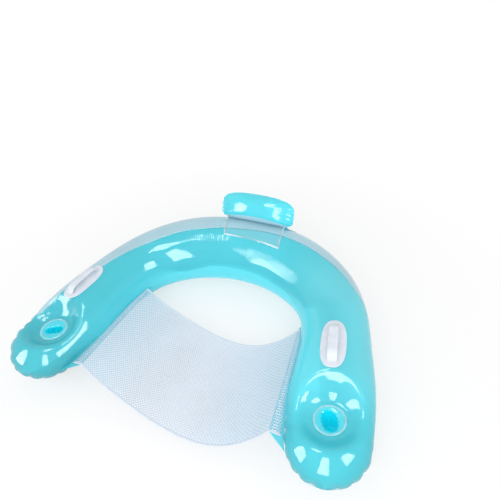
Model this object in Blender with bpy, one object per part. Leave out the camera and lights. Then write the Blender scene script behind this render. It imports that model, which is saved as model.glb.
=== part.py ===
"""Inflatable pool chair.

A U-shaped air tube lies flat on the floor with its arms pointing to -Y. It is
welded from an upper film and a lower film, whose seam climbs over the crown at
the back. A mesh seat hangs between the arms, each arm carries a cup well and a
handle, and a small air pillow stands on the back. Both air chambers have a
valve with a push-in stem, a check flap and a plug cap. Metres, +Z up.
"""
import math
from collections import namedtuple

import bmesh
import bpy
import numpy as np
from mathutils import Matrix, Vector

# Films and clearances
FILM = 0.0003
GAP = 0.0003
LIFT = 0.0007
MERGE = 0.000001
CUT_OVERRUN = 0.02

# Air tube
ARM_END_X = 0.538
ARM_END_Y = -0.31
TUBE_DEPTH = 0.691
ARM_CAP = 0.138
TUBE_WIDTH = 0.264
TUBE_HEIGHT = 0.274
FOOT_DEPTH = 0.0014
FOOT_HALF_ANGLE = math.radians(8)
# From the middle of the back to the end of the right arm
centre_x_shares = (0, 0.409, 0.721, 0.881, 0.946, 1)
centre_y_shares = (1, 0.936, 0.758, 0.463, 0.217, 0)
width_shares = (0.992, 1, 0.955, 0.932, 1.038, 1)
height_shares = (1, 1, 0.912, 0.869, 0.818, 0.704)
# How far below the middle of an arm's end its welds meet
nose_drop_share = 0.1

# Welded seams: places along the tube, from the left arm's end to the right arm's,
# and the angle of each seam round the tube, from its outer side over its crown
outer_seam_shares = (-1.12, -1.04, -1, -0.93, -0.87, -0.78, -0.65, -0.45, -0.2, 0, 0.2, 0.34, 0.46,
                     0.49, 0.525, 0.56, 0.62, 0.74, 0.96, 1.04, 1.12)
outer_seam_degrees = (46, 38, 36, 48, 62, 82, 91, 105, 107, 99, 88, 76, 57,
                      49, 30, 12, -8, -26, -24, -2, -16)
inner_seam_shares = (-1.12, -1.04, -1, -0.85, -0.6, -0.3, 0.3, 0.6, 0.85, 0.95, 1.03, 1.12)
inner_seam_degrees = (232, 215, 213, 225, 245, 257, 257, 225, 208, 200, 181, 198)

# Rows of the tube's mesh
BACK_ROWS = 14
ARM_ROWS = 17
CAP_ROWS = 6
UPPER_COLUMNS = 14
LOWER_COLUMNS = 14
LOWER_INNER_COLUMNS = 5
dense_from_share = 0.58

# Cup wells
CUP_MOUTH_HEIGHT = 0.141
CUP_DEPTH = 0.09
CUP_HOLE_RADIUS = 0.0495
CUP_COLLAR_WIDTH = 0.0055
CUP_COLLAR_HEIGHT = 0.0022
CUP_TAPER = 0.007
CUP_WALL = 0.0006
CUP_FLAT_RADIUS = 0.057
CUP_UPPER_DIMPLE_RADIUS = 0.125
CUP_LOWER_DIMPLE_RADIUS = 0.1
CUP_STEPS = 32
cup_place_share = 0.957

# Handles
HANDLE_LENGTH = 0.18
HANDLE_WIDTH = 0.084
HANDLE_PLATE = 0.0009
HANDLE_GRIP_LENGTH = 0.144
HANDLE_GRIP_WIDTH = 0.026
HANDLE_GRIP_RISE = 0.02
HANDLE_GRIP_THICKNESS = 0.0024
HANDLE_ROWS = 14
HANDLE_COLUMNS = 8
GRIP_ROWS = 15
GRIP_COLUMNS = 4
HANDLE_CORNER_POWER = 2.6
HANDLE_SIDE_STEP = 0.009
# The left and the right handle, along their arms
handle_place_shares = (0.766, 0.735)

# Pillow
PILLOW_WIDTH = 0.32
PILLOW_HEIGHT = 0.115
PILLOW_THICKNESS = 0.085
PILLOW_SEAT_ANGLE = math.radians(72)
PILLOW_LEAN = math.radians(25)
PILLOW_SEAT_RISE = 0.005
PILLOW_SIDE_STEP = 0.018
PILLOW_ROWS = 18
PILLOW_COLUMNS = 12
PILLOW_CORNER_POWER = 3.2
PILLOW_CROWN_POWER = 0.62
SKIRT_FILM = 0.0003
SKIRT_FRONT_WELD_ANGLE = math.radians(118)
SKIRT_FRONT_LEAVE_ANGLE = math.radians(80)
SKIRT_BACK_LEAVE_ANGLE = math.radians(60)
SKIRT_BACK_WELD_ANGLE = math.radians(38)
SKIRT_COLUMNS = 9
skirt_leave_share = 0.72
SKIRT_WELD_STEP = 0.02
skirt_flare_share = 0.08

# Seat
SEAT_WALL_ANGLE = math.radians(185)
SEAT_BACK_Y = 0.058
SEAT_FRONT_Y = -0.342
STRIP_BACK_WIDTH = 0.0116
STRIP_FRONT_WIDTH = 0.0496
STRIP_BACK_DROP = 0.0037
STRIP_FRONT_RISE = 0.009
SEAT_SAG = 0.052
SEAT_BACK_DIP = 0.083
SEAT_FRONT_BULGE = 0.084
SEAT_MESH = 0.0006
SEAT_HEM_WIDTH = 0.014
SEAT_HEM = 0.0008
SEAT_TAB_LENGTH = 0.042
SEAT_FOLD_HEIGHT = 0.0035
SEAT_COLUMNS = 28
SEAT_LAP_COLUMNS = 2
SEAT_ROWS = 14
STRIP_FILM = 0.0004
STRIP_TAB_ROWS = 4
strip_column_shares = (0, 0.4, 0.8, 1)
seat_fold_places_shares = (0.27, 0.71)
seat_fold_width_share = 0.07
seat_skew_share = 1.2
seat_fullness_share = 0.4

# Valves
VALVE_STEM_RADIUS = 0.0065
VALVE_BORE_RADIUS = 0.0043
VALVE_RIM_RADIUS = 0.0075
VALVE_RIM_HEIGHT = 0.0014
VALVE_STEM_OUT = 0.012
VALVE_STEM_IN = 0.009
VALVE_FLANGE_RADIUS = 0.02
VALVE_FLANGE = 0.001
VALVE_SPIGOT_RADIUS = 0.015
VALVE_SPIGOT_WALL = 0.0015
VALVE_SPIGOT_IN = 0.004
VALVE_WEB = 0.0006
VALVE_CAP_RADIUS = 0.008
VALVE_CAP = 0.0016
VALVE_PLUG_LENGTH = 0.0045
VALVE_PLUG_TOP_RADIUS = 0.0039
VALVE_PLUG_END_RADIUS = 0.003
VALVE_HINGE_OFFSET = 0.0098
VALVE_TAB_WIDTH = 0.005
VALVE_TAB_ROOT = 0.0053
VALVE_TAB_INSET = 0.0002
VALVE_FLAP_RADIUS = 0.0056
VALVE_FLAP = 0.0005
VALVE_STEPS = 20
KNUCKLE_STEPS = 6
VALVE_SEAT_DROP = 0.0012

# Colours
CYAN = (0.1, 0.67, 0.78, 1)
PEARL = (0.6, 0.69, 0.74, 1)
CLEAR = (0.72, 0.82, 0.86, 1)
WHITE = (0.74, 0.77, 0.84, 1)
MESH_WHITE = (0.66, 0.72, 0.84, 1)


class Spline:
    """A natural cubic spline through the given points."""

    def __init__(self, knots, values):
        self.knots = np.array(knots, float)
        self.values = np.array(values, float)
        count = len(self.knots)
        steps = np.diff(self.knots)
        rises = np.diff(self.values) / steps
        system = np.eye(count)
        right = np.zeros(count)
        for i in range(1, count - 1):
            system[i, i - 1:i + 2] = steps[i - 1], 2 * (steps[i - 1] + steps[i]), steps[i]
            right[i] = 6 * (rises[i] - rises[i - 1])
        self.bends = np.linalg.solve(system, right)

    def _piece(self, place):
        last = len(self.knots) - 2
        i = min(max(int(np.searchsorted(self.knots, place)) - 1, 0), last)
        step = self.knots[i + 1] - self.knots[i]
        return i, step, self.knots[i + 1] - place, place - self.knots[i]

    def at(self, place):
        i, step, left, right = self._piece(place)
        bend = self.bends[i] * left ** 3 + self.bends[i + 1] * right ** 3
        low = (self.values[i] / step - self.bends[i] * step / 6) * left
        high = (self.values[i + 1] / step - self.bends[i + 1] * step / 6) * right
        return bend / (6 * step) + low + high

    def slope(self, place):
        i, step, left, right = self._piece(place)
        bend = self.bends[i + 1] * right ** 2 - self.bends[i] * left ** 2
        rise = (self.values[i + 1] - self.values[i]) / step
        return bend / (2 * step) + rise - (self.bends[i + 1] - self.bends[i]) * step / 6


Section = namedtuple("Section", "centre along outward wide high beyond shrink")


class Tube:
    """The U-shaped tube: a place along it in metres from the middle of the back."""

    def __init__(self):
        xs = [share * ARM_END_X for share in centre_x_shares]
        ys = [ARM_END_Y + share * TUBE_DEPTH for share in centre_y_shares]
        runs = [0]
        for i in range(1, len(xs)):
            runs.append(runs[-1] + math.hypot(xs[i] - xs[i - 1], ys[i] - ys[i - 1]))
        self.run = runs[-1]
        both = [-run for run in runs[:0:-1]] + runs
        self.x = Spline(both, [-x for x in xs[:0:-1]] + xs)
        self.y = Spline(both, ys[:0:-1] + ys)
        self.width = Spline(both, self._mirrored(width_shares, TUBE_WIDTH))
        self.height = Spline(both, self._mirrored(height_shares, TUBE_HEIGHT))

    @staticmethod
    def _mirrored(shares, size):
        values = [share * size for share in shares]
        return values[:0:-1] + values

    def section(self, place):
        """The tube's section at a place: beyond the arms' ends, how far into the cap."""
        side = -1 if place < 0 else 1
        run = min(abs(place), self.run)
        beyond = min((abs(place) - run) / ARM_CAP, 1)
        along = Vector((self.x.slope(run) * side, self.y.slope(run))).normalized()
        centre = Vector((self.x.at(run) * side, self.y.at(run)))
        outward = Vector((-along.y * side, along.x * side))
        shrink = math.sqrt(1 - beyond ** 2)
        return Section(centre, along, outward, self.width.at(run) / 2, self.height.at(run) / 2, beyond, shrink)

    def plain_point(self, place, angle, lift=0):
        """A point on the smooth tube, lift metres off its surface."""
        here = self.section(place)
        drop = nose_drop_share * here.beyond
        unit = Vector((here.beyond, here.shrink * math.cos(angle), here.shrink * math.sin(angle) - drop))
        unit.normalize()
        normal = Vector((unit.x / ARM_CAP, unit.y / here.wide, unit.z / here.high)).normalized()
        reach = unit.x * ARM_CAP + normal.x * lift
        out = unit.y * here.wide + normal.y * lift
        rise = here.high + unit.z * here.high + normal.z * lift - FOOT_DEPTH
        plan = here.centre + here.along * reach + here.outward * out
        return Vector((plan.x, plan.y, rise))

    def cup_centre(self, side):
        centre = self.section(side * cup_place_share * self.run).centre
        return Vector((centre.x, centre.y, 0))

    def seams(self, place):
        share = place / self.run
        outer = np.interp(share, outer_seam_shares, outer_seam_degrees)
        inner = np.interp(share, inner_seam_shares, inner_seam_degrees)
        shrink = self.section(place).shrink
        outer *= shrink
        inner = 180 + (inner - 180) * shrink
        return math.radians(outer), math.radians(inner)

    def places(self):
        """Rows along the tube, closer together round the cups and the arms' ends."""
        dense = dense_from_share * self.run
        half = [dense * i / BACK_ROWS for i in range(BACK_ROWS)]
        half += [dense + (self.run - dense) * i / ARM_ROWS for i in range(ARM_ROWS)]
        turns = [math.pi / 2 * i / CAP_ROWS for i in range(CAP_ROWS + 1)]
        half += [self.run + ARM_CAP * math.sin(turn) for turn in turns]
        return [-place for place in half[:0:-1]] + half


TUBE = Tube()


def fade(distance, flat, reach):
    """1 inside the flat radius, 0 past the reach, and smooth between."""
    if distance <= flat:
        return 1
    if distance >= reach:
        return 0
    return 0.5 + 0.5 * math.cos(math.pi * (distance - flat) / (reach - flat))


def cup_floor_height():
    return CUP_MOUTH_HEIGHT - CUP_DEPTH


def dimpled(point, level, reach):
    """Draw a point towards a cup's welded rim or base."""
    for side in (-1, 1):
        cup = TUBE.cup_centre(side)
        distance = math.hypot(point.x - cup.x, point.y - cup.y)
        point.z += (level - point.z) * fade(distance, CUP_FLAT_RADIUS, reach)
    return point


def round_cups(point, angle):
    """Fit a point of either film to the cups: above them to the rims, below them to the bases."""
    if math.sin(angle) > 0:
        dimpled(point, CUP_MOUTH_HEIGHT, CUP_UPPER_DIMPLE_RADIUS)
    else:
        dimpled(point, cup_floor_height() - GAP - FILM, CUP_LOWER_DIMPLE_RADIUS)
    point.z = max(point.z, 0)
    return point


def seam_margin(place):
    """The angle that leaves half the clearance beside a seam."""
    here = TUBE.section(place)
    return GAP / 2 / max(here.high * here.shrink, GAP)


def upper_point(place, share):
    outer, inner = TUBE.seams(place)
    margin = seam_margin(place)
    angle = outer + margin + (inner - outer - 2 * margin) * share
    point = TUBE.plain_point(place, angle)
    point.z += GAP / 2 * (1 - TUBE.section(place).shrink)
    return round_cups(point, angle)


def lower_angles(place):
    """Angles round the lower film, with two columns along the flat foot."""
    outer, inner = TUBE.seams(place)
    margin = seam_margin(place)
    first = inner + margin
    last = outer + 2 * math.pi - margin
    foot = (1.5 * math.pi - FOOT_HALF_ANGLE, 1.5 * math.pi + FOOT_HALF_ANGLE)
    near = [first + (foot[0] - first) * i / LOWER_INNER_COLUMNS for i in range(LOWER_INNER_COLUMNS)]
    rest = LOWER_COLUMNS - LOWER_INNER_COLUMNS - 1
    far = [foot[1] + (last - foot[1]) * i / rest for i in range(rest + 1)]
    return near + [foot[0]] + far


def lower_point(place, column):
    angle = lower_angles(place)[column]
    point = TUBE.plain_point(place, angle)
    point.z -= GAP / 2 * (1 - TUBE.section(place).shrink)
    return round_cups(point, angle)


def finish(name, colour, roughness, see_through=0):
    """A Principled material in one colour."""
    material = bpy.data.materials.new(name)
    material.use_nodes = True
    shader = material.node_tree.nodes["Principled BSDF"]
    shader.inputs["Base Color"].default_value = colour
    shader.inputs["Roughness"].default_value = roughness
    shader.inputs["Metallic"].default_value = 0
    shader.inputs["Transmission Weight"].default_value = see_through
    material.diffuse_color = colour
    return material


def add_object(name, mesh, material):
    """Turn a bmesh into a smooth-shaded object of its own."""
    data = bpy.data.meshes.new(name)
    mesh.to_mesh(data)
    mesh.free()
    data.shade_smooth()
    data.set_sharp_from_angle(angle=math.radians(40))
    if material:
        data.materials.append(material)
    item = bpy.data.objects.new(name, data)
    bpy.context.scene.collection.objects.link(item)
    return item


def thicken(item, thickness, outwards=False):
    wall = item.modifiers.new("wall", "SOLIDIFY")
    wall.thickness = thickness
    wall.offset = 1 if outwards else -1
    wall.use_rim = True


def bent_grid(name, rows, columns, place, material):
    """A grid of rows by columns of points, each put where place(row, column) says."""
    mesh = bmesh.new()
    bmesh.ops.create_grid(mesh, x_segments=rows - 1, y_segments=columns - 1, size=1)
    for vertex in mesh.verts:
        row = round((vertex.co.x + 1) / 2 * (rows - 1))
        column = round((vertex.co.y + 1) / 2 * (columns - 1))
        vertex.co = place(row, column)
    bmesh.ops.remove_doubles(mesh, verts=mesh.verts, dist=MERGE)
    bmesh.ops.triangulate(mesh, faces=mesh.faces, quad_method="SHORT_EDGE")
    return add_object(name, mesh, material)


def turned(name, profile, steps, material, hinge=(0, 0, 0)):
    """A solid of revolution round Z, from (radius, height) points, kept about its hinge."""
    mesh = bmesh.new()
    points = [mesh.verts.new((radius, 0, height)) for radius, height in profile]
    closed = min(radius for radius, _ in profile) > 0
    pairs = list(zip(points, points[1:]))
    if closed:
        pairs.append((points[-1], points[0]))
    edges = [mesh.edges.new(pair) for pair in pairs]
    bmesh.ops.spin(mesh, geom=points + edges, cent=(0, 0, 0), axis=(0, 0, 1),
                   angle=2 * math.pi, steps=steps, use_merge=True)
    bmesh.ops.remove_doubles(mesh, verts=mesh.verts, dist=MERGE)
    bmesh.ops.recalc_face_normals(mesh, faces=mesh.faces)
    bmesh.ops.translate(mesh, verts=mesh.verts, vec=-Vector(hinge))
    return add_object(name, mesh, material)


def tongue(name, end, low, high, hinge=(0, 0, 0)):
    """A hidden flat bar along local +Y with a rounded end."""
    mesh = bmesh.new()
    radius = (high - low) / 2
    outline = [(VALVE_TAB_ROOT, low)]
    for i in range(KNUCKLE_STEPS + 1):
        turn = math.pi * i / KNUCKLE_STEPS
        outline.append((end + radius * math.sin(turn), low + radius - radius * math.cos(turn)))
    outline.append((VALVE_TAB_ROOT, high))
    corners = [mesh.verts.new((-VALVE_TAB_WIDTH / 2, y, z)) for y, z in outline]
    face = mesh.faces.new(corners)
    sides = bmesh.ops.extrude_face_region(mesh, geom=[face])["geom"]
    moved = [item for item in sides if isinstance(item, bmesh.types.BMVert)]
    bmesh.ops.translate(mesh, verts=moved, vec=(VALVE_TAB_WIDTH, 0, 0))
    bmesh.ops.recalc_face_normals(mesh, faces=mesh.faces)
    bmesh.ops.translate(mesh, verts=mesh.verts, vec=-Vector(hinge))
    return hidden(add_object(name, mesh, None))


def hidden(item):
    item.hide_render = True
    item.display_type = "WIRE"
    return item


def round_cutter(name, radius, low, high):
    """A hidden cylinder round Z."""
    mesh = bmesh.new()
    bmesh.ops.create_cone(mesh, cap_ends=True, segments=CUP_STEPS, radius1=radius,
                          radius2=radius, depth=high - low)
    bmesh.ops.translate(mesh, verts=mesh.verts, vec=(0, 0, (low + high) / 2))
    return hidden(add_object(name, mesh, None))


def combine(item, other, operation):
    change = item.modifiers.new(operation.lower(), "BOOLEAN")
    change.operation = operation
    change.object = other
    change.solver = "EXACT"


def side_name(side):
    return "left" if side < 0 else "right"


def build_tube(cyan, pearl):
    """The two films that hold the air, with holes for the cups and the valve."""
    places = TUBE.places()[::-1]
    upper = bent_grid("upper_film", len(places), UPPER_COLUMNS + 1,
                      lambda row, column: upper_point(places[row], column / UPPER_COLUMNS), cyan)
    lower = bent_grid("lower_film", len(places), LOWER_COLUMNS + 1,
                      lambda row, column: lower_point(places[row], column), pearl)
    thicken(upper, FILM)
    thicken(lower, FILM)
    for side in (-1, 1):
        cutter = round_cutter("cup_hole_" + side_name(side), CUP_HOLE_RADIUS,
                              CUP_MOUTH_HEIGHT - CUT_OVERRUN, CUP_MOUTH_HEIGHT + CUT_OVERRUN)
        cutter.location = TUBE.cup_centre(side)
        combine(upper, cutter, "DIFFERENCE")
    cutter = round_cutter("main_valve_hole", VALVE_SPIGOT_RADIUS + GAP, -CUT_OVERRUN, CUT_OVERRUN)
    place_on_back(cutter, main_valve_seat())
    combine(lower, cutter, "DIFFERENCE")


def build_cup(side, cyan, clear):
    """A moulded well with its welded collar in the upper film's hole."""
    centre = TUBE.cup_centre(side)
    collar_outer = CUP_HOLE_RADIUS - GAP
    collar_inner = collar_outer - CUP_COLLAR_WIDTH
    low = CUP_MOUTH_HEIGHT - CUP_COLLAR_HEIGHT / 2
    high = CUP_MOUTH_HEIGHT + CUP_COLLAR_HEIGHT / 2
    bevel = CUP_COLLAR_HEIGHT / 4
    ring = [(collar_inner, low), (collar_outer, low), (collar_outer, high - bevel),
            (collar_outer - bevel, high), (collar_inner, high)]
    collar = turned("cup_collar_" + side_name(side), ring, CUP_STEPS, clear)
    collar.location = centre
    mouth = collar_inner - GAP
    base = mouth - CUP_TAPER
    floor = cup_floor_height()
    shell = [(0, floor), (base, floor), (mouth, high), (mouth - CUP_WALL, high),
             (base - CUP_WALL, floor + CUP_WALL), (0, floor + CUP_WALL)]
    well = turned("cup_well_" + side_name(side), shell, CUP_STEPS, cyan)
    well.location = centre


def oval(row, column, rows, columns, power):
    """A grid place moved onto a rounded rectangle: across, along and radius shares."""
    across = 2 * column / (columns - 1) - 1
    along = 2 * row / (rows - 1) - 1
    disc = (across * math.sqrt(1 - along ** 2 / 2), along * math.sqrt(1 - across ** 2 / 2))
    radius = math.hypot(*disc)
    if radius == 0:
        return 0, 0, 0
    swell = (abs(disc[0] / radius) ** power + abs(disc[1] / radius) ** power) ** (-1 / power)
    return disc[0] * swell, disc[1] * swell, min(radius, 1)


def on_arm(side, along, across, lift):
    """A point on an arm's crown, measured from the middle of its handle."""
    middle = side * handle_place_shares[side > 0] * TUBE.run
    place = middle + side * along
    wide = TUBE.section(place).wide
    return TUBE.plain_point(place, math.pi / 2 - side * (across - HANDLE_SIDE_STEP) / wide, lift)


def build_handle(side, white):
    """An oval plate welded on the arm and a raised grip along it."""
    def plate_point(row, column):
        across, along, _ = oval(row, column, HANDLE_ROWS, HANDLE_COLUMNS, HANDLE_CORNER_POWER)
        return on_arm(side, along * HANDLE_LENGTH / 2, across * HANDLE_WIDTH / 2, LIFT)

    plate = bent_grid("handle_plate_" + side_name(side), HANDLE_ROWS, HANDLE_COLUMNS, plate_point, white)
    thicken(plate, HANDLE_PLATE, outwards=True)

    def grip_point(row, column):
        along = 2 * row / (GRIP_ROWS - 1) - 1
        across = 2 * column / (GRIP_COLUMNS - 1) - 1
        arch = HANDLE_GRIP_RISE * math.sin(math.pi / 2 * (1 - along ** 4)) ** 2
        base = LIFT + HANDLE_PLATE + GAP
        return on_arm(side, along * HANDLE_GRIP_LENGTH / 2, across * HANDLE_GRIP_WIDTH / 2, base + arch)

    grip = bent_grid("handle_grip_" + side_name(side), GRIP_ROWS, GRIP_COLUMNS, grip_point, white)
    thicken(grip, HANDLE_GRIP_THICKNESS, outwards=True)


def leant(across, out, up):
    """A vector given across the leaning pillow, out behind it and up it."""
    return Matrix.Rotation(-PILLOW_LEAN, 3, "X") @ Vector((across, out, up))


def pillow_centre():
    seat = TUBE.plain_point(PILLOW_SIDE_STEP, PILLOW_SEAT_ANGLE)
    return Vector((PILLOW_SIDE_STEP, seat.y, seat.z + PILLOW_SEAT_RISE)) + leant(0, 0, PILLOW_HEIGHT / 2)


def pillow_point(row, column, facing):
    up, along, radius = oval(row, column, PILLOW_ROWS, PILLOW_COLUMNS, PILLOW_CORNER_POWER)
    middle = pillow_centre()
    depth = PILLOW_THICKNESS / 2 * (1 - radius ** 2) ** PILLOW_CROWN_POWER
    out = facing * (GAP / 2 + FILM + depth)
    return middle + leant(along * PILLOW_WIDTH / 2, out, up * PILLOW_HEIGHT / 2)


def build_pillow(cyan):
    """Two crowned films, welded round their rim."""
    front = bent_grid("pillow_front_film", PILLOW_ROWS, PILLOW_COLUMNS,
                      lambda row, column: pillow_point(row, column, -1), cyan)
    back = bent_grid("pillow_back_film", PILLOW_ROWS, PILLOW_COLUMNS,
                     lambda row, column: pillow_point(row, column, 1), cyan)
    thicken(front, FILM)
    thicken(back, FILM, outwards=True)
    cutter = round_cutter("pillow_valve_hole", VALVE_SPIGOT_RADIUS + GAP, -CUT_OVERRUN, CUT_OVERRUN)
    place_on_back(cutter, pillow_valve_seat(), PILLOW_LEAN)
    combine(back, cutter, "DIFFERENCE")


def build_skirt(name, facing, weld, leave, step, material):
    """A film from a weld on the tube up to the pillow's lower rim, wider and a step aside at the weld."""
    def skirt_point(row, column):
        rim = pillow_point(row, 0, facing)
        share = column / (SKIRT_COLUMNS - 1)
        if share <= skirt_leave_share:
            up = share / skirt_leave_share
            lean = step + skirt_flare_share * (rim.x - pillow_centre().x)
            return TUBE.plain_point(rim.x + lean * (1 - up), weld + (leave - weld) * up, LIFT)
        start = TUBE.plain_point(rim.x, leave, LIFT)
        rim += leant(0, facing * GAP, -GAP - SKIRT_FILM)
        return start.lerp(rim, (share - skirt_leave_share) / (1 - skirt_leave_share))

    skirt = bent_grid(name, PILLOW_ROWS, SKIRT_COLUMNS, skirt_point, material)
    thicken(skirt, SKIRT_FILM, outwards=facing < 0)


def wall_place(y):
    """Where the arm's inner wall reaches a given y, as a place along the tube."""
    low, high = 0, TUBE.run + ARM_CAP
    for _ in range(40):
        middle = (low + high) / 2
        if TUBE.plain_point(middle, SEAT_WALL_ANGLE).y > y:
            low = middle
        else:
            high = middle
    return middle


def seat_shares():
    """Rows from the seat's back edge to its front, with one at each hem's inner edge."""
    hem = SEAT_HEM_WIDTH / (SEAT_BACK_Y - SEAT_FRONT_Y)
    return [0, hem] + [i / SEAT_ROWS for i in range(1, SEAT_ROWS)] + [1 - hem, 1]


def strip_rows():
    """Rows of the welded strip: outer edge on the arm's wall, free edge under the mesh."""
    first, last = wall_place(SEAT_BACK_Y), wall_place(SEAT_FRONT_Y)
    rows = []
    back = TUBE.plain_point(first, SEAT_WALL_ANGLE, LIFT) - Vector((STRIP_BACK_WIDTH, 0, STRIP_BACK_DROP))
    front = TUBE.plain_point(last, SEAT_WALL_ANGLE, LIFT) - Vector((STRIP_FRONT_WIDTH, 0, -STRIP_FRONT_RISE))
    for share in seat_shares():
        wall = TUBE.plain_point(first + (last - first) * share, SEAT_WALL_ANGLE, LIFT)
        rows.append((wall, back.lerp(front, share)))
    return rows


def strip_tab_rows():
    """Rows of the tab that carries on past the mesh at the front."""
    last = wall_place(SEAT_FRONT_Y)
    tip = TUBE.plain_point(last + SEAT_TAB_LENGTH, SEAT_WALL_ANGLE, LIFT)
    corner = strip_rows()[-1][1]
    rows = []
    for i in range(1, STRIP_TAB_ROWS + 1):
        share = i / STRIP_TAB_ROWS
        wall = TUBE.plain_point(last + SEAT_TAB_LENGTH * share, SEAT_WALL_ANGLE, LIFT)
        rows.append((wall, corner.lerp(tip, share)))
    return rows


def build_strip(side, cyan):
    """The strip welded on an arm's inner wall, which carries the mesh."""
    rows = strip_rows() + strip_tab_rows()

    def strip_point(row, column):
        wall, free = rows[row]
        point = free.lerp(wall, strip_column_shares[column])
        return Vector((side * point.x, point.y, point.z))

    strip = bent_grid("seat_strip_" + side_name(side), len(rows), len(strip_column_shares),
                      strip_point, cyan)
    thicken(strip, STRIP_FILM, outwards=side < 0)


def seat_fold(across, share):
    """Two soft folds that run from the back edge to the front."""
    height = 0
    for place in seat_fold_places_shares:
        height += math.exp(-((across - place) / seat_fold_width_share) ** 2)
    return SEAT_FOLD_HEIGHT * height * math.sin(math.pi * share) ** 2


def seat_point(column, row, lift):
    """A point of the mesh: column from left to right, row from back to front."""
    wall, free = strip_rows()[row]
    share = seat_shares()[row]
    raised = Vector((0, 0, LIFT + SEAT_MESH + lift))
    near = min(column, SEAT_COLUMNS - column)
    if near <= SEAT_LAP_COLUMNS:
        side = -1 if column == near else 1
        point = free.lerp(wall, strip_column_shares[SEAT_LAP_COLUMNS - near])
        return Vector((side * point.x, point.y, point.z)) + raised
    across = (column - SEAT_LAP_COLUMNS) / (SEAT_COLUMNS - 2 * SEAT_LAP_COLUMNS)
    hang = 4 * across * (1 - across)
    hang *= 1 + seat_skew_share * (across - 0.5) + seat_fullness_share * (2 * across - 1) ** 2
    pull = SEAT_BACK_DIP + (SEAT_FRONT_BULGE - SEAT_BACK_DIP) * share
    z = free.z - SEAT_SAG * hang + seat_fold(across, share)
    return Vector((free.x * (2 * across - 1), free.y - pull * hang, z)) + raised


def build_seat(mesh_white, white):
    """The hanging mesh and the hems along its back and front edges."""
    last = len(seat_shares()) - 1
    mesh = bent_grid("seat_mesh", SEAT_COLUMNS + 1, last + 1,
                     lambda row, column: seat_point(row, column, 0), mesh_white)
    thicken(mesh, SEAT_MESH, outwards=True)
    for name, first in (("seat_back_hem", 0), ("seat_front_hem", last - 1)):
        hem = bent_grid(name, SEAT_COLUMNS + 1, 2,
                        lambda row, column: seat_point(row, first + column, LIFT), white)
        thicken(hem, SEAT_HEM)


def place_on_back(item, seat, lean=0):
    """Turn a piece's own +Z to +Y, or as far below it as a lean says, and put it on its seat."""
    item.location = seat
    item.rotation_euler = (-math.pi / 2 - lean, 0, 0)


def main_valve_seat():
    return TUBE.plain_point(0, 0)


def pillow_valve_seat():
    return pillow_centre() + leant(0, GAP / 2 + FILM + PILLOW_THICKNESS / 2, 0)


def add_tongue(item, end, low, high, hinge=(0, 0, 0)):
    """Join a rounded tongue to a piece of a valve."""
    bar = tongue(item.name + "_tongue", end, low + VALVE_TAB_INSET, high - VALVE_TAB_INSET, hinge)
    bar.parent = item
    combine(item, bar, "UNION")


def build_flange(prefix, clear):
    """The welded flange with its spigot, and the soft web inside it."""
    spigot_inner = VALVE_SPIGOT_RADIUS - VALVE_SPIGOT_WALL
    face = VALVE_SEAT_DROP + LIFT
    top = face + VALVE_FLANGE
    flange = turned(prefix + "_valve_flange",
                    [(VALVE_FLANGE_RADIUS, face), (VALVE_FLANGE_RADIUS, top), (spigot_inner, top),
                     (spigot_inner, -VALVE_SPIGOT_IN), (VALVE_SPIGOT_RADIUS, -VALVE_SPIGOT_IN),
                     (VALVE_SPIGOT_RADIUS, face)], VALVE_STEPS, clear)
    inner = VALVE_STEM_RADIUS + GAP
    outer = spigot_inner - GAP
    web = turned(prefix + "_valve_web",
                 [(inner, 0), (outer, 0), (outer, VALVE_WEB), (inner, VALVE_WEB)], VALVE_STEPS, clear)
    return flange, web


def build_stem(prefix, clear, white):
    """The push-in stem, with the check flap hinged at its inner end."""
    low = VALVE_STEM_OUT - VALVE_RIM_HEIGHT
    stem = turned(prefix + "_valve_stem",
                  [(VALVE_BORE_RADIUS, -VALVE_STEM_IN), (VALVE_STEM_RADIUS, -VALVE_STEM_IN),
                   (VALVE_STEM_RADIUS, low), (VALVE_RIM_RADIUS, low), (VALVE_RIM_RADIUS, VALVE_STEM_OUT),
                   (VALVE_BORE_RADIUS, VALVE_STEM_OUT)], VALVE_STEPS, white)
    add_tongue(stem, VALVE_HINGE_OFFSET, low, VALVE_STEM_OUT)
    face = -VALVE_STEM_IN - GAP
    hinge = (0, VALVE_FLAP_RADIUS, face)
    flap = turned(prefix + "_valve_flap",
                  [(0, face), (VALVE_FLAP_RADIUS, face), (VALVE_FLAP_RADIUS, face - VALVE_FLAP),
                   (0, face - VALVE_FLAP)], VALVE_STEPS, clear, hinge)
    flap.parent = stem
    flap.location = hinge
    return stem


def build_cap(prefix, stem, white):
    """The plug cap, hinged to the stem by its tongue."""
    under = VALVE_STEM_OUT + GAP
    top = under + VALVE_CAP
    hinge = (0, VALVE_HINGE_OFFSET, under + VALVE_CAP / 2)
    cap = turned(prefix + "_valve_cap",
                 [(0, under - VALVE_PLUG_LENGTH), (VALVE_PLUG_END_RADIUS, under - VALVE_PLUG_LENGTH),
                  (VALVE_PLUG_TOP_RADIUS, under), (VALVE_CAP_RADIUS, under), (VALVE_CAP_RADIUS, top),
                  (0, top)], VALVE_STEPS, white, hinge)
    add_tongue(cap, VALVE_HINGE_OFFSET, under, top, hinge)
    cap.parent = stem
    cap.location = hinge


def build_valve(prefix, seat, lean, clear, white):
    """A flange with a soft web, a push-in stem, its check flap and a plug cap."""
    frame = bpy.data.objects.new(prefix + "_valve_frame", None)
    bpy.context.scene.collection.objects.link(frame)
    drop = Matrix.Rotation(-lean, 3, "X") @ Vector((0, VALVE_SEAT_DROP, 0))
    place_on_back(frame, seat - drop, lean)
    flange, web = build_flange(prefix, clear)
    stem = build_stem(prefix, clear, white)
    for piece in (flange, web, stem):
        piece.parent = frame
    build_cap(prefix, stem, white)


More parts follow.
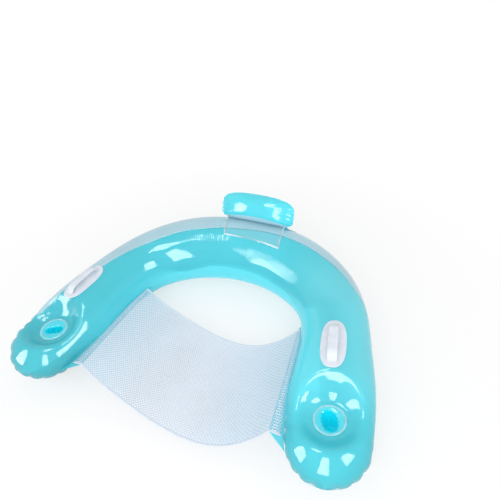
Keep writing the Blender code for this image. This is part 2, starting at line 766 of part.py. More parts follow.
def centre_on_origin():
    """Move everything so that the middle of its outline in plan is at the origin."""
    bpy.context.view_layer.update()
    shown = [item for item in bpy.data.objects if item.type == "MESH" and not item.hide_render]
    ys = [(item.matrix_world @ Vector(corner)).y for item in shown for corner in item.bound_box]
    for item in bpy.data.objects:
        if item.parent is None:
            item.location.y -= (min(ys) + max(ys)) / 2


def main():
    for item in list(bpy.data.objects):
        bpy.data.objects.remove(item)
    cyan = finish("cyan_film", CYAN, 0.12, 0.5)
    pearl = finish("pearl_film", PEARL, 0.2, 0.5)
    clear = finish("clear_vinyl", CLEAR, 0.15, 0.8)
    white = finish("white_vinyl", WHITE, 0.3)
    mesh_white = finish("white_mesh", MESH_WHITE, 0.6)
    build_tube(cyan, pearl)
    for side in (-1, 1):
        build_cup(side, cyan, clear)
        build_handle(side, white)
        build_strip(side, cyan)
    build_seat(mesh_white, white)
    build_pillow(cyan)
    build_skirt("pillow_front_skirt", -1, SKIRT_FRONT_WELD_ANGLE, SKIRT_FRONT_LEAVE_ANGLE,
                SKIRT_WELD_STEP, clear)
    build_skirt("pillow_back_skirt", 1, SKIRT_BACK_WELD_ANGLE, SKIRT_BACK_LEAVE_ANGLE, 0, cyan)
    build_valve("main", main_valve_seat(), 0, clear, white)
    build_valve("pillow", pillow_valve_seat(), PILLOW_LEAN, clear, white)
    centre_on_origin()


main()
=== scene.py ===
"""Looks of an inflatable pool chair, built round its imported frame.

Every piece is placed by the same lines as the CAD solids: a U-shaped air tube of
two welded films, cup wells, handles, an air pillow, a hanging mesh seat and the
air valves. Metres, +Z up.
"""

import math
from collections import namedtuple

import bmesh
import bpy
import numpy as np
from mathutils import Matrix, Vector, noise


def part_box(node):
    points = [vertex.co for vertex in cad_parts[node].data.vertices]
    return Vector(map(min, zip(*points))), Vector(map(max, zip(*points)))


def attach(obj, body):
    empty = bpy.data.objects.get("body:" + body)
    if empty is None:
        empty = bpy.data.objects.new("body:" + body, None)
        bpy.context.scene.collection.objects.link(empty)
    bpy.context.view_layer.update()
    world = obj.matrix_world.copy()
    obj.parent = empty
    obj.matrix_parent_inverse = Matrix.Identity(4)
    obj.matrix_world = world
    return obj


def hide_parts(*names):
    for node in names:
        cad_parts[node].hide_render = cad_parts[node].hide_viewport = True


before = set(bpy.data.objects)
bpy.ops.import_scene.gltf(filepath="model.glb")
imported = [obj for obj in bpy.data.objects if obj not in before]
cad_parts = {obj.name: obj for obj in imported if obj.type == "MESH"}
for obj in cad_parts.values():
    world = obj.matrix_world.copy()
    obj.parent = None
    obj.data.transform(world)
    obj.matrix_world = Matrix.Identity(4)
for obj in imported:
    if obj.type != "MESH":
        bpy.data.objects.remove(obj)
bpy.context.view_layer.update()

bl_info = {
    "name": "Inflatable pool chair",
    "version": (1, 0, 0),
    "blender": (4, 5, 0),
    "location": "View3D > Sidebar > Pool chair",
    "description": "Builds an inflatable pool chair with its mesh seat, handles, cups, pillow and valves",
    "category": "Add Mesh",
}

# Films and clearances
FILM = 0.0003
GAP = 0.0003
LIFT = 0.0007
MERGE = 0.00001
WELD_LIFT = 0.0002
WELD_WIDTH = 0.0052
CUT_OVERRUN = 0.02

# Air tube, as in the solids
ARM_END_X = 0.538
ARM_END_Y = -0.31
TUBE_DEPTH = 0.691
ARM_CAP = 0.138
TUBE_WIDTH = 0.264
TUBE_HEIGHT = 0.274
FOOT_DEPTH = 0.0014
centre_x_shares = (0, 0.409, 0.721, 0.881, 0.946, 1)
centre_y_shares = (1, 0.936, 0.758, 0.463, 0.217, 0)
width_shares = (0.992, 1, 0.955, 0.932, 1.038, 1)
height_shares = (1, 1, 0.912, 0.869, 0.818, 0.704)
nose_drop_share = 0.1
outer_seam_shares = (-1.12, -1.04, -1, -0.93, -0.87, -0.78, -0.65, -0.45, -0.2, 0, 0.2, 0.34, 0.46,
                     0.49, 0.525, 0.56, 0.62, 0.74, 0.96, 1.04, 1.12)
outer_seam_degrees = (46, 38, 36, 48, 62, 82, 91, 105, 107, 99, 88, 76, 57,
                      49, 30, 12, -8, -26, -24, -2, -16)
inner_seam_shares = (-1.12, -1.04, -1, -0.85, -0.6, -0.3, 0.3, 0.6, 0.85, 0.95, 1.03, 1.12)
inner_seam_degrees = (232, 215, 213, 225, 245, 257, 257, 225, 208, 200, 181, 198)

# Upper edge of the painted lit band inside the tube: places in metres, heights as shares of half a turn
band_edge_places = (-1, -0.6, -0.45, -0.292, -0.225, -0.155, 0.225, 0.309, 0.393, 0.505,
                    0.553, 0.648, 0.781, 1)
band_edge_shares = (0.885, 0.885, 0.95, 1.025, 1.008, 0.975, 0.975, 0.958, 0.942, 0.892,
                    0.742, 0.692, 0.642, 0.6)

# Mesh of the films
PLEATED_RUN = 0.42
PLEATED_ROWS = 190
ARM_ROWS = 118
CAP_ROWS = 26
UPPER_COLUMNS = 58
LOWER_COLUMNS = 44
WELD_COLUMNS = 4

# Creases of the tube, and the patches of pleats at its back
PLEAT_PITCH = 0.011
PLEAT_DEPTH = 0.001
PLEAT_TURN = 0.16
PLEATS_FADE_PLACE = 0.3
CROWN_PLEATS_ANGLE = math.radians(122)
CROWN_PLEATS_PLACE = -0.155
CROWN_PLEATS_REACH = 0.055
LOW_PLEATS_ANGLE = math.radians(140)
LOW_PLEATS_PLACES = (-0.09, -0.04)
RIM_PLEATS_PITCH = 0.013
RIM_PLEATS_PLACE = -0.1
RIM_PLEATS_REACH = 0.045
UNDER_PLEATS_REACH = 0.1
SCALLOP_PITCH = 0.047
SCALLOP_DEPTH = 0.011
SCALLOP_REACH = 0.032
SCALLOP_DRIFT_PITCH = 0.05
SWELL_DEPTH = 0.0012
scallop_shares = (0.8, 1.02)

# Cup wells
CUP_MOUTH_HEIGHT = 0.141
CUP_DEPTH = 0.09
CUP_HOLE_RADIUS = 0.0495
CUP_FLAT_RADIUS = 0.057
CUP_UPPER_DIMPLE_RADIUS = 0.125
CUP_LOWER_DIMPLE_RADIUS = 0.1
CUP_CREASES = 17
CUP_CREASE_DEPTH = 0.0009
CUP_CREASE_RADII = (CUP_HOLE_RADIUS, 0.062, 0.066, 0.1)
CUP_RING_LAP = 0.0055
CUP_LIP = 0.0009
CUP_NECK_DEPTH = 0.0051
CUP_NECK_FOLD = 0.003
CUP_BODY_FOLD = 0.0035
CUP_SHOULDER = 0.005
CUP_TAPER = 0.006
CUP_FLOOR_RISE = 0.004
CUP_WALL = 0.0005
CUP_FOLDS = 13
CUP_STEPS = 144
CUP_LEVELS = 46
cup_place_share = 0.957
cup_neck_share = 0.22
cup_floor_share = 0.82
cup_slants = {-1: 0.5, 1: 2.1}

# Handles
HANDLE_SIDE_STEP = 0.009
HANDLE_SHARP_ANGLE = 50
PLATE_WALL = 0.001
PLATE_FOOT = 0.0006
PLATE_RIM = 0.0007
PLATE_GROOVE = 0.0003
PLATE_HOLLOW = 0.00036
PLATE_CORNER_POWER = 2.6
PLATE_ROWS = 97
PLATE_COLUMNS = 49
STRAP_WALL = 0.0018
STRAP_FOOT = 0.0016
STRAP_CURL = 0.0016
STRAP_CURL_RISE = 0.005
STRAP_RIB = 0.0003
STRAP_RIBS = 5
STRAP_ROWS = 121
STRAP_COLUMNS = 17
handle_place_shares = (0.766, 0.735)

# Pillow
PILLOW_WIDTH = 0.32
PILLOW_HEIGHT = 0.115
PILLOW_THICKNESS = 0.085
PILLOW_SEAT_ANGLE = math.radians(72)
PILLOW_LEAN = math.radians(25)
PILLOW_SEAT_RISE = 0.005
PILLOW_SIDE_STEP = 0.018
PILLOW_LOW_POWER = 7
PILLOW_TOP_POWER = 2.8
PILLOW_CROWN_POWER = 0.62
PILLOW_CREASE_PITCH = 0.0135
PILLOW_CREASE_DEPTH = 0.0042
PILLOW_SWELL_DEPTH = 0.0012
PILLOW_LIP = 0.0004
PILLOW_VALVE_CUT = 0.034
PILLOW_ROWS = 121
PILLOW_COLUMNS = 61
pillow_weld_share = 0.03

# Skirts of the pillow
SKIRT_FRONT_WELD_ANGLE = math.radians(118)
SKIRT_FRONT_LEAVE_ANGLE = math.radians(80)
SKIRT_BACK_LEAVE_ANGLE = math.radians(60)
SKIRT_BACK_WELD_ANGLE = math.radians(38)
SKIRT_CORNER_POWER = 3.2
SKIRT_WELD_STEP = 0.028
SKIRT_WELD_LIFT = 0.0004
SKIRT_RUN = 0.1
SKIRT_SLACK = 0.002
SKIRT_ROWS = 81
SKIRT_COLUMNS = 29
SKIRT_WELD_COLUMNS = 5
SKIRT_EDGE_ROWS = 41
SKIRT_EDGE_COLUMNS = 4
skirt_leave_share = 0.72
skirt_flare_share = 0.08
skirt_inset_share = 0.995

# Seat
SEAT_WALL_ANGLE = math.radians(185)
SEAT_BACK_Y = 0.058
SEAT_FRONT_Y = -0.342
SEAT_LENGTH = 0.408
SEAT_SAG = 0.052
SEAT_BACK_DIP = 0.083
SEAT_FRONT_BULGE = 0.084
SEAT_FOLD_HEIGHT = 0.0035
SEAT_MESH = 0.0006
NET_WIDTH = 0.74
NET_ROWS = 169
NET_COLUMNS = 71
BINDING_WIDTH = 0.0068
BINDING_RISE = 0.0011
BINDING_OVERHANG = 0.0012
BINDING_STEPS = 16
STRIP_FILM = 0.0004
STRIP_BACK_WIDTH = 0.0116
STRIP_FRONT_WIDTH = 0.0496
STRIP_BACK_DROP = 0.0037
STRIP_FRONT_RISE = 0.009
STRIP_FRONT_TAB = 0.042
STRIP_BACK_TAB = 0.014
STRIP_ROWS = 91
STRIP_COLUMNS = 13
STRIP_RUN = 0.05
BARS = 44
BAR_RISE = 0.0011
BAR_WIDTH = 0.0024
BAR_HEIGHT = 0.001
bar_ends_shares = (0.012, 0.048)
seat_fold_places_shares = (0.27, 0.71)
seat_fold_width_share = 0.07
seat_skew_share = 1.2
seat_fullness_share = 0.4
seat_lap_share = 0.8
net_lap_share = 0.06
strip_back_share = 0.04
strip_front_share = 0.1

# Valves
VALVE_SEAT_DROP = 0.0012
VALVE_SPIGOT_RADIUS = 0.015
VALVE_SHARP_ANGLE = 40
TONGUE_START = 0.0053
TONGUE_REACH = 0.0098
TONGUE_WIDTH = 0.005
TONGUE_STEPS = 12
WEB_BORE = 0.0068
WEB_GAP = 0.0006
WEB_FILM = 0.0006
WEB_WAVE = 0.0005
WEB_RINGS = 14

# Looks shared by several materials
VINYL_IOR = 1.42
PALE_WELD = (0.8, 0.94, 0.98)
CUP_WELD = (0.5, 0.9, 0.97)
# Painted light: the lighter cyan of the right arm
PAINTED_LIGHT_CYAN = (0.26, 0.86, 0.94)
SIDE_NET_BLUE = (0.38, 0.63, 0.8)
WHITE = (1, 1, 1, 1)
BLACK = (0, 0, 0)
RIB_PITCH = 0.0024
GRAIN_PITCH = 0.0032
WEAVE_PITCH = 0.0011
pillow_foot_height = -0.0305

# Ramps of the looks: a value between the first two numbers becomes one between the last two
CLOUDS = (0.35, 0.65, 0, 1)
# The band ramps shape the painted lit band low inside the tube
BAND_WOBBLE = (0.3, 0.7, -0.005, 0.005)
BAND_SOFTNESS = (0.34, 0.56, 0.011, 0.14)
BAND_ON_ARMS = (0.4, 0.6, 1, 0.65)
BAND_AT_ENDS = (0.8, 0.98, 1, 0)
# The next seven ramps place painted shade and painted light on the tube: the left arm darker, the right arm
# lighter, the arm ends darker low down, and a darker strip above the lit band
LEFT_ARM_PAINTED_SHADE = (-0.75, -0.42, 0.8, 0)
RIGHT_ARM = (0.25, 0.45, 0, 0.5)
RIGHT_ARM_END = (0.8, 0.95, 1, 0)
LOW_ENDS = (0.82, 1, 0, 1)
LOW_LEVELS = (0.06, 0.18, 1, 0)
SHADE_START = (-0.34, -0.16, 0, 1)
SHADE_END = (-0.05, -0.02, 1, 0)
PILLOW_FOOT = (pillow_foot_height - 0.001, pillow_foot_height + 0.001, 1, 0)
CUP_INSIDE = (0.017, 0.021, 0, 1)
NET_SIDES = (0.1, 0.34, 0, 0.6)
NET_THREADS = (0.83, 0.92, 0.05, 1)

# Ramps whose last two numbers differ from one material to another
ROUGH_CLOUDS = (0.3, 0.7)
WORN_WELD = (0.03, 0.1)

# Stage: each soft box has its centre, target, width, height and share of the strength
FLOOR_RADIUS = 9
FLOOR_DROP = 0.0005
FLOOR_WHITE = (0.75, 1.35, 0.6, 1)
KEY_BOX = "key_box"
SOFT_BOXES = {
    "left_box": ((-2.2, -2.35, 1.3), (0, -2.35, 1.3), 1.8, 2.3, 1),
    "front_box": ((0.78, -2.4, 1.8), (0.78, 0, 1.8), 0.85, 2.8, 1),
    "right_box": ((2.4, -0.95, 1.9), (0, -0.95, 1.9), 1.1, 1.8, 1),
    "top_box": ((-0.15, -0.5, 2.4), (-0.15, -0.5, 0), 0.65, 0.9, 1),
    KEY_BOX: ((0.9, -2.6, 1.9), (0, 0, 0.15), 2.4, 2, 0.15),
}
SENSOR_WIDTH = 36
FOCAL_LENGTH = 33.915
CAMERA_PLACE = (0.69148, -1.05091, 1.44772)
CAMERA_RIGHT = (0.91845634, 0.3884646, -0.07438548)
CAMERA_UP = (-0.19841119, 0.61520974, 0.76298753)
CAMERA_BACK = (0.34215632, -0.68601182, 0.64211902)


class FilmLooks(bpy.types.PropertyGroup):
    """Colours and gloss of the welded vinyl films."""
    cyan: bpy.props.FloatVectorProperty(
        name="Cyan film", description="Colour of the upper film", subtype="COLOR", size=3,
        min=0, max=1, default=(0.1, 0.75, 0.87))
    # Painted light: a lit copy of the cyan film for the band low inside the tube, which also gives off light;
    # the tube welds take it too
    cyan_painted_light: bpy.props.FloatVectorProperty(
        name="Cyan film, lit", description="Colour of the upper film low on its inner side",
        subtype="COLOR", size=3, min=0, max=1, default=(0.15, 0.85, 0.96))
    pearl: bpy.props.FloatVectorProperty(
        name="Pearly film", description="Colour of the lower film", subtype="COLOR", size=3,
        min=0, max=1, default=(0.5, 0.76, 0.86))
    cup: bpy.props.FloatVectorProperty(
        name="Cup film", description="Colour of the cup wells", subtype="COLOR", size=3,
        min=0, max=1, default=(0.01, 0.74, 0.84))
    opacity: bpy.props.FloatProperty(
        name="Opacity", description="How much of what is behind each face of a film it hides",
        subtype="FACTOR", min=0.1, max=1, default=0.72)
    gloss: bpy.props.FloatProperty(
        name="Roughness", description="Roughness of the films", subtype="FACTOR",
        min=0.02, max=1, default=0.04)


class WhitePartLooks(bpy.types.PropertyGroup):
    """Colours of the pale parts."""
    vinyl: bpy.props.FloatVectorProperty(
        name="White vinyl", description="Colour of the handles and valve stems", subtype="COLOR",
        size=3, min=0, max=1, default=(0.71, 0.76, 0.83))
    clear: bpy.props.FloatVectorProperty(
        name="Clear vinyl", description="Colour of the clear parts", subtype="COLOR", size=3,
        min=0, max=1, default=(0.62, 0.82, 0.88))
    mesh: bpy.props.FloatVectorProperty(
        name="Mesh thread", description="Colour of the seat's thread", subtype="COLOR", size=3,
        min=0, max=1, default=(0.6, 0.69, 0.81))
    hem: bpy.props.FloatVectorProperty(
        name="Hem", description="Colour of the woven binding", subtype="COLOR", size=3,
        min=0, max=1, default=(0.66, 0.73, 0.83))


class CupSizes(bpy.types.PropertyGroup):
    """Sizes of the cup wells."""
    ring_width: bpy.props.FloatProperty(
        name="Ring width", description="Width of the welded ring round a mouth", unit="LENGTH",
        default=0.0068, min=0.006, max=0.01)
    left_gather: bpy.props.FloatProperty(
        name="Left gather", description="How far the left mouth is drawn together", subtype="FACTOR",
        default=0.62, min=0, max=0.8)
    right_gather: bpy.props.FloatProperty(
        name="Right gather", description="How far the right mouth is drawn together", subtype="FACTOR",
        default=0.4, min=0, max=0.8)


class HandleSizes(bpy.types.PropertyGroup):
    """Sizes of the grab handles."""
    length: bpy.props.FloatProperty(
        name="Length", description="Length of the welded plate", unit="LENGTH",
        default=0.18, min=0.15, max=0.19)
    width: bpy.props.FloatProperty(
        name="Width", description="Width of the welded plate", unit="LENGTH",
        default=0.084, min=0.07, max=0.09)
    grip_length: bpy.props.FloatProperty(
        name="Grip length", description="Length of the raised strap", unit="LENGTH",
        default=0.144, min=0.12, max=0.15)
    grip_width: bpy.props.FloatProperty(
        name="Grip width", description="Width of the raised strap", unit="LENGTH",
        default=0.03, min=0.02, max=0.034)
    grip_rise: bpy.props.FloatProperty(
        name="Grip rise", description="How far the strap stands off its plate", unit="LENGTH",
        default=0.02, min=0.005, max=0.022)


class SeatSizes(bpy.types.PropertyGroup):
    """Sizes of the mesh seat."""
    thread_pitch: bpy.props.FloatProperty(
        name="Net pitch", description="Distance between the threads of the net", unit="LENGTH",
        default=0.0115, min=0.002, max=0.02)
    wrinkle: bpy.props.FloatProperty(
        name="Wrinkles", description="Height of the soft wrinkles in the net", unit="LENGTH",
        default=0.0022, min=0, max=0.004)


class StageLooks(bpy.types.PropertyGroup):
    """Floor and light."""
    floor: bpy.props.FloatVectorProperty(
        name="Floor", description="Colour of the floor", subtype="COLOR", size=3, min=0, max=1,
        default=(0.95, 0.95, 0.95))
    fill: bpy.props.FloatProperty(
        name="Fill light", description="Strength of the even light from all round",
        default=0.86, min=0, max=2)
    box_strength: bpy.props.FloatProperty(
        name="Soft boxes", description="Brightness of the soft boxes", default=17, min=0, max=30)


class Spline:
    """A natural cubic spline through the given points."""

    def __init__(self, knots, values):
        self.knots = np.array(knots, float)
        self.values = np.array(values, float)
        count = len(self.knots)
        steps = np.diff(self.knots)
        rises = np.diff(self.values) / steps
        system = np.eye(count)
        right = np.zeros(count)
        for i in range(1, count - 1):
            system[i, i - 1:i + 2] = steps[i - 1], 2 * (steps[i - 1] + steps[i]), steps[i]
            right[i] = 6 * (rises[i] - rises[i - 1])
        self.bends = np.linalg.solve(system, right)

    def _piece(self, place):
        last = len(self.knots) - 2
        i = min(max(int(np.searchsorted(self.knots, place)) - 1, 0), last)
        step = self.knots[i + 1] - self.knots[i]
        return i, step, self.knots[i + 1] - place, place - self.knots[i]

    def at(self, place):
        i, step, left, right = self._piece(place)
        bend = self.bends[i] * left ** 3 + self.bends[i + 1] * right ** 3
        low = (self.values[i] / step - self.bends[i] * step / 6) * left
        high = (self.values[i + 1] / step - self.bends[i + 1] * step / 6) * right
        return bend / (6 * step) + low + high

    def slope(self, place):
        i, step, left, right = self._piece(place)
        bend = self.bends[i + 1] * right ** 2 - self.bends[i] * left ** 2
        rise = (self.values[i + 1] - self.values[i]) / step
        return bend / (2 * step) + rise - (self.bends[i + 1] - self.bends[i]) * step / 6


Section = namedtuple("Section", "centre along outward wide high beyond shrink")


class Tube:
    """The U-shaped tube: a place along it in metres from the middle of the back."""

    def __init__(self):
        xs = [share * ARM_END_X for share in centre_x_shares]
        ys = [ARM_END_Y + share * TUBE_DEPTH for share in centre_y_shares]
        runs = [0]
        for i in range(1, len(xs)):
            runs.append(runs[-1] + math.hypot(xs[i] - xs[i - 1], ys[i] - ys[i - 1]))
        self.run = runs[-1]
        self.shift = 0
        self.known = {}
        both = [-run for run in runs[:0:-1]] + runs
        self.x = Spline(both, [-x for x in xs[:0:-1]] + xs)
        self.y = Spline(both, ys[:0:-1] + ys)
        self.width = Spline(both, self._mirrored(width_shares, TUBE_WIDTH))
        self.height = Spline(both, self._mirrored(height_shares, TUBE_HEIGHT))

    @staticmethod
    def _mirrored(shares, size):
        values = [share * size for share in shares]
        return values[:0:-1] + values

    def section(self, place):
        """The tube's section at a place: beyond the arms' ends, how far into the cap."""
        if place not in self.known:
            side = -1 if place < 0 else 1
            run = min(abs(place), self.run)
            beyond = min((abs(place) - run) / ARM_CAP, 1)
            along = Vector((self.x.slope(run) * side, self.y.slope(run))).normalized()
            centre = Vector((self.x.at(run) * side, self.y.at(run) + self.shift))
            outward = Vector((-along.y * side, along.x * side))
            shrink = math.sqrt(1 - beyond ** 2)
            self.known[place] = Section(centre, along, outward, self.width.at(run) / 2,
                                        self.height.at(run) / 2, beyond, shrink)
        return self.known[place]

    def plain_point(self, place, angle, lift=0):
        """A point on the smooth tube, lift metres off its surface."""
        here = self.section(place)
        drop = nose_drop_share * here.beyond
        unit = Vector((here.beyond, here.shrink * math.cos(angle), here.shrink * math.sin(angle) - drop))
        unit.normalize()
        normal = Vector((unit.x / ARM_CAP, unit.y / here.wide, unit.z / here.high)).normalized()
        reach = unit.x * ARM_CAP + normal.x * lift
        out = unit.y * here.wide + normal.y * lift
        rise = here.high + unit.z * here.high + normal.z * lift - FOOT_DEPTH
        plan = here.centre + here.along * reach + here.outward * out
        return Vector((plan.x, plan.y, rise))

    def cup_centre(self, side):
        centre = self.section(side * cup_place_share * self.run).centre
        return Vector((centre.x, centre.y, 0))

    def seams(self, place):
        share = place / self.run
        outer = np.interp(share, outer_seam_shares, outer_seam_degrees)
        inner = np.interp(share, inner_seam_shares, inner_seam_degrees)
        shrink = self.section(place).shrink
        outer *= shrink
        inner = 180 + (inner - 180) * shrink
        return math.radians(outer), math.radians(inner)

    def fine_places(self):
        """Rows along the tube, closest together in its pleated back."""
        half = [PLEATED_RUN * i / PLEATED_ROWS for i in range(PLEATED_ROWS)]
        half += [PLEATED_RUN + (self.run - PLEATED_RUN) * i / ARM_ROWS for i in range(ARM_ROWS)]
        turns = [math.pi / 2 * i / CAP_ROWS for i in range(CAP_ROWS + 1)]
        half += [self.run + ARM_CAP * math.sin(turn) for turn in turns]
        return [-place for place in half[:0:-1]] + half


TUBE = Tube()
well_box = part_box("cup_well_left")
TUBE.shift = (well_box[0].y + well_box[1].y) / 2 - TUBE.cup_centre(-1).y
TUBE.known.clear()
PLACES = TUBE.fine_places()


def fade(distance, flat, reach):
    """1 inside the flat radius, 0 past the reach, and smooth between."""
    if distance <= flat:
        return 1
    if distance >= reach:
        return 0
    return 0.5 + 0.5 * math.cos(math.pi * (distance - flat) / (reach - flat))


def soft_step(value, low, high):
    """0 below low, 1 above high, and smooth between."""
    share = min(max((value - low) / (high - low), 0), 1)
    return share * share * (3 - 2 * share)


def drift(x, y=0, z=0):
    """Smooth noise from -1 to 1."""
    return noise.noise(Vector((x, y, z)))


def bell(distance, reach):
    """1 at no distance, falling off smoothly over the reach."""
    return math.exp(-(distance / reach) ** 2)


def crease(run, pitch, seed):
    """Depth of sharp creases between soft swells, 0 to 1, along a run in metres."""
    phase = run / pitch + 0.45 * drift(run / pitch / 2.3, seed)
    depth = 0.62 + 0.38 * drift(run / pitch / 1.3, seed + 7.3)
    return depth * (1 - abs(math.sin(math.pi * phase))) ** 1.4


def ripple(run, pitch, seed):
    """Depth of even ripples, 0 to 1, along a run in metres."""
    phase = run / pitch + 0.3 * drift(run / pitch / 3.1, seed)
    depth = 0.7 + 0.3 * drift(run / pitch / 1.7, seed + 3.1)
    return depth * (0.5 - 0.5 * math.cos(2 * math.pi * phase)) ** 0.8


def seam_runs():
    """Running length of both welds at each row."""
    runs = {}
    last = None
    outer_run = inner_run = 0
    for place in PLACES:
        outer, inner = TUBE.seams(place)
        points = TUBE.plain_point(place, outer), TUBE.plain_point(place, inner)
        if last:
            outer_run += (points[0] - last[0]).length
            inner_run += (points[1] - last[1]).length
        runs[place] = outer_run, inner_run
        last = points
    return runs


SEAM_RUNS = seam_runs()


def pucker(place, angle):
    """How far the film is drawn in at a point of the tube by its creases."""
    here = TUBE.section(place)
    outer, inner = TUBE.seams(place)
    radius = (here.wide + here.high) / 2 * here.shrink
    outer_gap = min(abs(angle - outer), abs(angle - outer - 2 * math.pi)) * radius
    inner_gap = abs(angle - inner) * radius
    depth = 0
    end = soft_step(abs(place) / TUBE.run, *scallop_shares)
    if end > 0:
        for gap, run, seed in ((outer_gap, SEAM_RUNS[place][0], 0), (inner_gap, SEAM_RUNS[place][1], 11)):
            reach = SCALLOP_REACH * (1 + 0.4 * drift(run / SCALLOP_DRIFT_PITCH, seed))
            depth += end * SCALLOP_DEPTH * crease(run, SCALLOP_PITCH, seed) * math.exp(-(gap / reach) ** 1.5)
    back = 1 - soft_step(abs(place), PLEATS_FADE_PLACE, PLEATED_RUN)
    if back > 0:
        crown = bell(angle - CROWN_PLEATS_ANGLE, PLEAT_TURN)
        crown *= bell(place - CROWN_PLEATS_PLACE, CROWN_PLEATS_REACH)
        low = bell(angle - LOW_PLEATS_ANGLE, PLEAT_TURN) * soft_step(place, *LOW_PLEATS_PLACES)
        middle = soft_step(-abs(place - RIM_PLEATS_PLACE), -0.12, -0.04)
        rim = bell(outer_gap, RIM_PLEATS_REACH) * (0.25 + 0.75 * middle)
        under = bell(inner_gap, UNDER_PLEATS_REACH)
        pleats = ripple(place, PLEAT_PITCH, 1) * (0.9 * low + 2 * crown)
        pleats += crease(place, RIM_PLEATS_PITCH, 6) * (rim + 1.6 * under) * 1.3
        depth += back * PLEAT_DEPTH * pleats
    swell = 0.5 + 0.5 * drift(place * 5.5, math.cos(angle) * 1.3 + 1, math.sin(angle) * 1.3)
    return depth + SWELL_DEPTH * swell * here.shrink


def near_cup(point, level, reach, seed):
    """Draw a point of a film towards a cup's welded ring or base, with creases round it."""
    start, full, fading, end = CUP_CREASE_RADII
    for side in (-1, 1):
        away = (point - TUBE.cup_centre(side)).xy
        distance = away.length
        if distance < reach:
            point.z += (level - point.z) * fade(distance, CUP_FLAT_RADIUS, reach)
            turn = math.atan2(away.y, away.x) / (2 * math.pi) * CUP_CREASES
            band = soft_step(distance, start, full) * (1 - soft_step(distance, fading, end))
            fold = 1 - abs(math.sin(math.pi * (turn + 0.3 * drift(turn, seed))))
            point.z -= CUP_CREASE_DEPTH * band * fold


def centred(step, count):
    """An even place from -1 to 1 of a row or a column among so many."""
    return 2 * step / (count - 1) - 1


def spread(share, evenness):
    """Move an even share towards both ends."""
    return evenness * share + (1 - evenness) * (0.5 - 0.5 * math.cos(math.pi * share))


def film_point(place, angle, lift=0):
    """A point of either film, with its creases, drawn to the cups above and below."""
    point = TUBE.plain_point(place, angle, lift - pucker(place, angle))
    if math.sin(angle) > 0:
        near_cup(point, CUP_MOUTH_HEIGHT + lift, CUP_UPPER_DIMPLE_RADIUS, 2)
    else:
        near_cup(point, CUP_MOUTH_HEIGHT - CUP_DEPTH - 2 * FILM, CUP_LOWER_DIMPLE_RADIUS, 4)
    point.z = max(point.z, 0)
    return point


def skin_point(place, share, lower):
    """A point of the upper or the lower film, from one weld to the other, with its UV."""
    outer, inner = TUBE.seams(place)
    start, end = (inner, outer + 2 * math.pi) if lower else (outer, inner)
    angle = start + (end - start) * share
    return film_point(place, angle), (place, angle / math.pi)


def bent_grid(rows, columns, place):
    """A grid of rows by columns, each vertex put where place(row, column) says, with its UV."""
    mesh = bmesh.new()
    layer = mesh.loops.layers.uv.new("surface")
    bmesh.ops.create_grid(mesh, x_segments=rows - 1, y_segments=columns - 1, size=1)
    mesh.verts.index_update()
    marks = []
    for vertex in mesh.verts:
        row = round((vertex.co.x + 1) / 2 * (rows - 1))
        column = round((vertex.co.y + 1) / 2 * (columns - 1))
        vertex.co, mark = place(row, column)
        marks.append(mark)
    for face in mesh.faces:
        for loop in face.loops:
            loop[layer].uv = marks[loop.vert.index]
    bmesh.ops.remove_doubles(mesh, verts=mesh.verts, dist=MERGE)
    return mesh


def add_piece(name, mesh, look, instead=(), body="float"):
    """Turn a bmesh into a smooth piece that rides on a body and stands for the solids it replaces."""
    data = bpy.data.meshes.new(name)
    mesh.to_mesh(data)
    mesh.free()
    data.shade_smooth()
    data.materials.append(finish(look))
    piece = bpy.data.objects.new(name, data)
    bpy.context.scene.collection.objects.link(piece)
    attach(piece, body)
    if instead:
        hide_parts(*instead)
    return piece


def settle(piece, sharp=None):
    """Make a piece's modifiers part of its mesh."""
    shape = piece.evaluated_get(bpy.context.evaluated_depsgraph_get())
    data = bpy.data.meshes.new_from_object(shape)
    data.name = piece.name
    piece.modifiers.clear()
    piece.data = data
    if sharp:
        data.set_sharp_from_angle(angle=math.radians(sharp))
    return piece


def add_sheet(name, mesh, look, instead, wall, outwards=False, sharp=None):
    """Turn a bent grid into a piece of the float with a wall."""
    piece = add_piece(name, mesh, look, instead)
    change = piece.modifiers.new("wall", "SOLIDIFY")
    change.thickness = wall
    change.offset = 1 if outwards else -1
    change.use_rim = True
    return settle(piece, sharp)


def cut_holes(piece, holes):
    """Cut round holes: each is a matrix from the hole's own Z axis, a radius and a depth."""
    mesh = bmesh.new()
    for matrix, radius, depth in holes:
        bmesh.ops.create_cone(mesh, cap_ends=True, segments=96, radius1=radius, radius2=radius,
                              depth=2 * depth, matrix=matrix)
    data = bpy.data.meshes.new("hole_cutter")
    mesh.to_mesh(data)
    mesh.free()
    cutter = bpy.data.objects.new("hole_cutter", data)
    bpy.context.scene.collection.objects.link(cutter)
    change = piece.modifiers.new("holes", "BOOLEAN")
    change.operation = "DIFFERENCE"
    change.object = cutter
    change.solver = "EXACT"
    settle(piece)
    bpy.data.objects.remove(cutter)


def turned(profile, steps, matrix):
    """A closed solid of revolution round Z from (radius, height) points."""
    mesh = bmesh.new()
    points = [mesh.verts.new((radius, 0, height)) for radius, height in profile]
    pairs = list(zip(points, points[1:]))
    if min(radius for radius, _ in profile) > 0:
        pairs.append((points[-1], points[0]))
    edges = [mesh.edges.new(pair) for pair in pairs]
    bmesh.ops.spin(mesh, geom=points + edges, cent=(0, 0, 0), axis=(0, 0, 1),
                   angle=2 * math.pi, steps=steps, use_merge=True)
    bmesh.ops.remove_doubles(mesh, verts=mesh.verts, dist=MERGE)
    bmesh.ops.recalc_face_normals(mesh, faces=mesh.faces)
    bmesh.ops.transform(mesh, matrix=matrix, verts=mesh.verts)
    return mesh


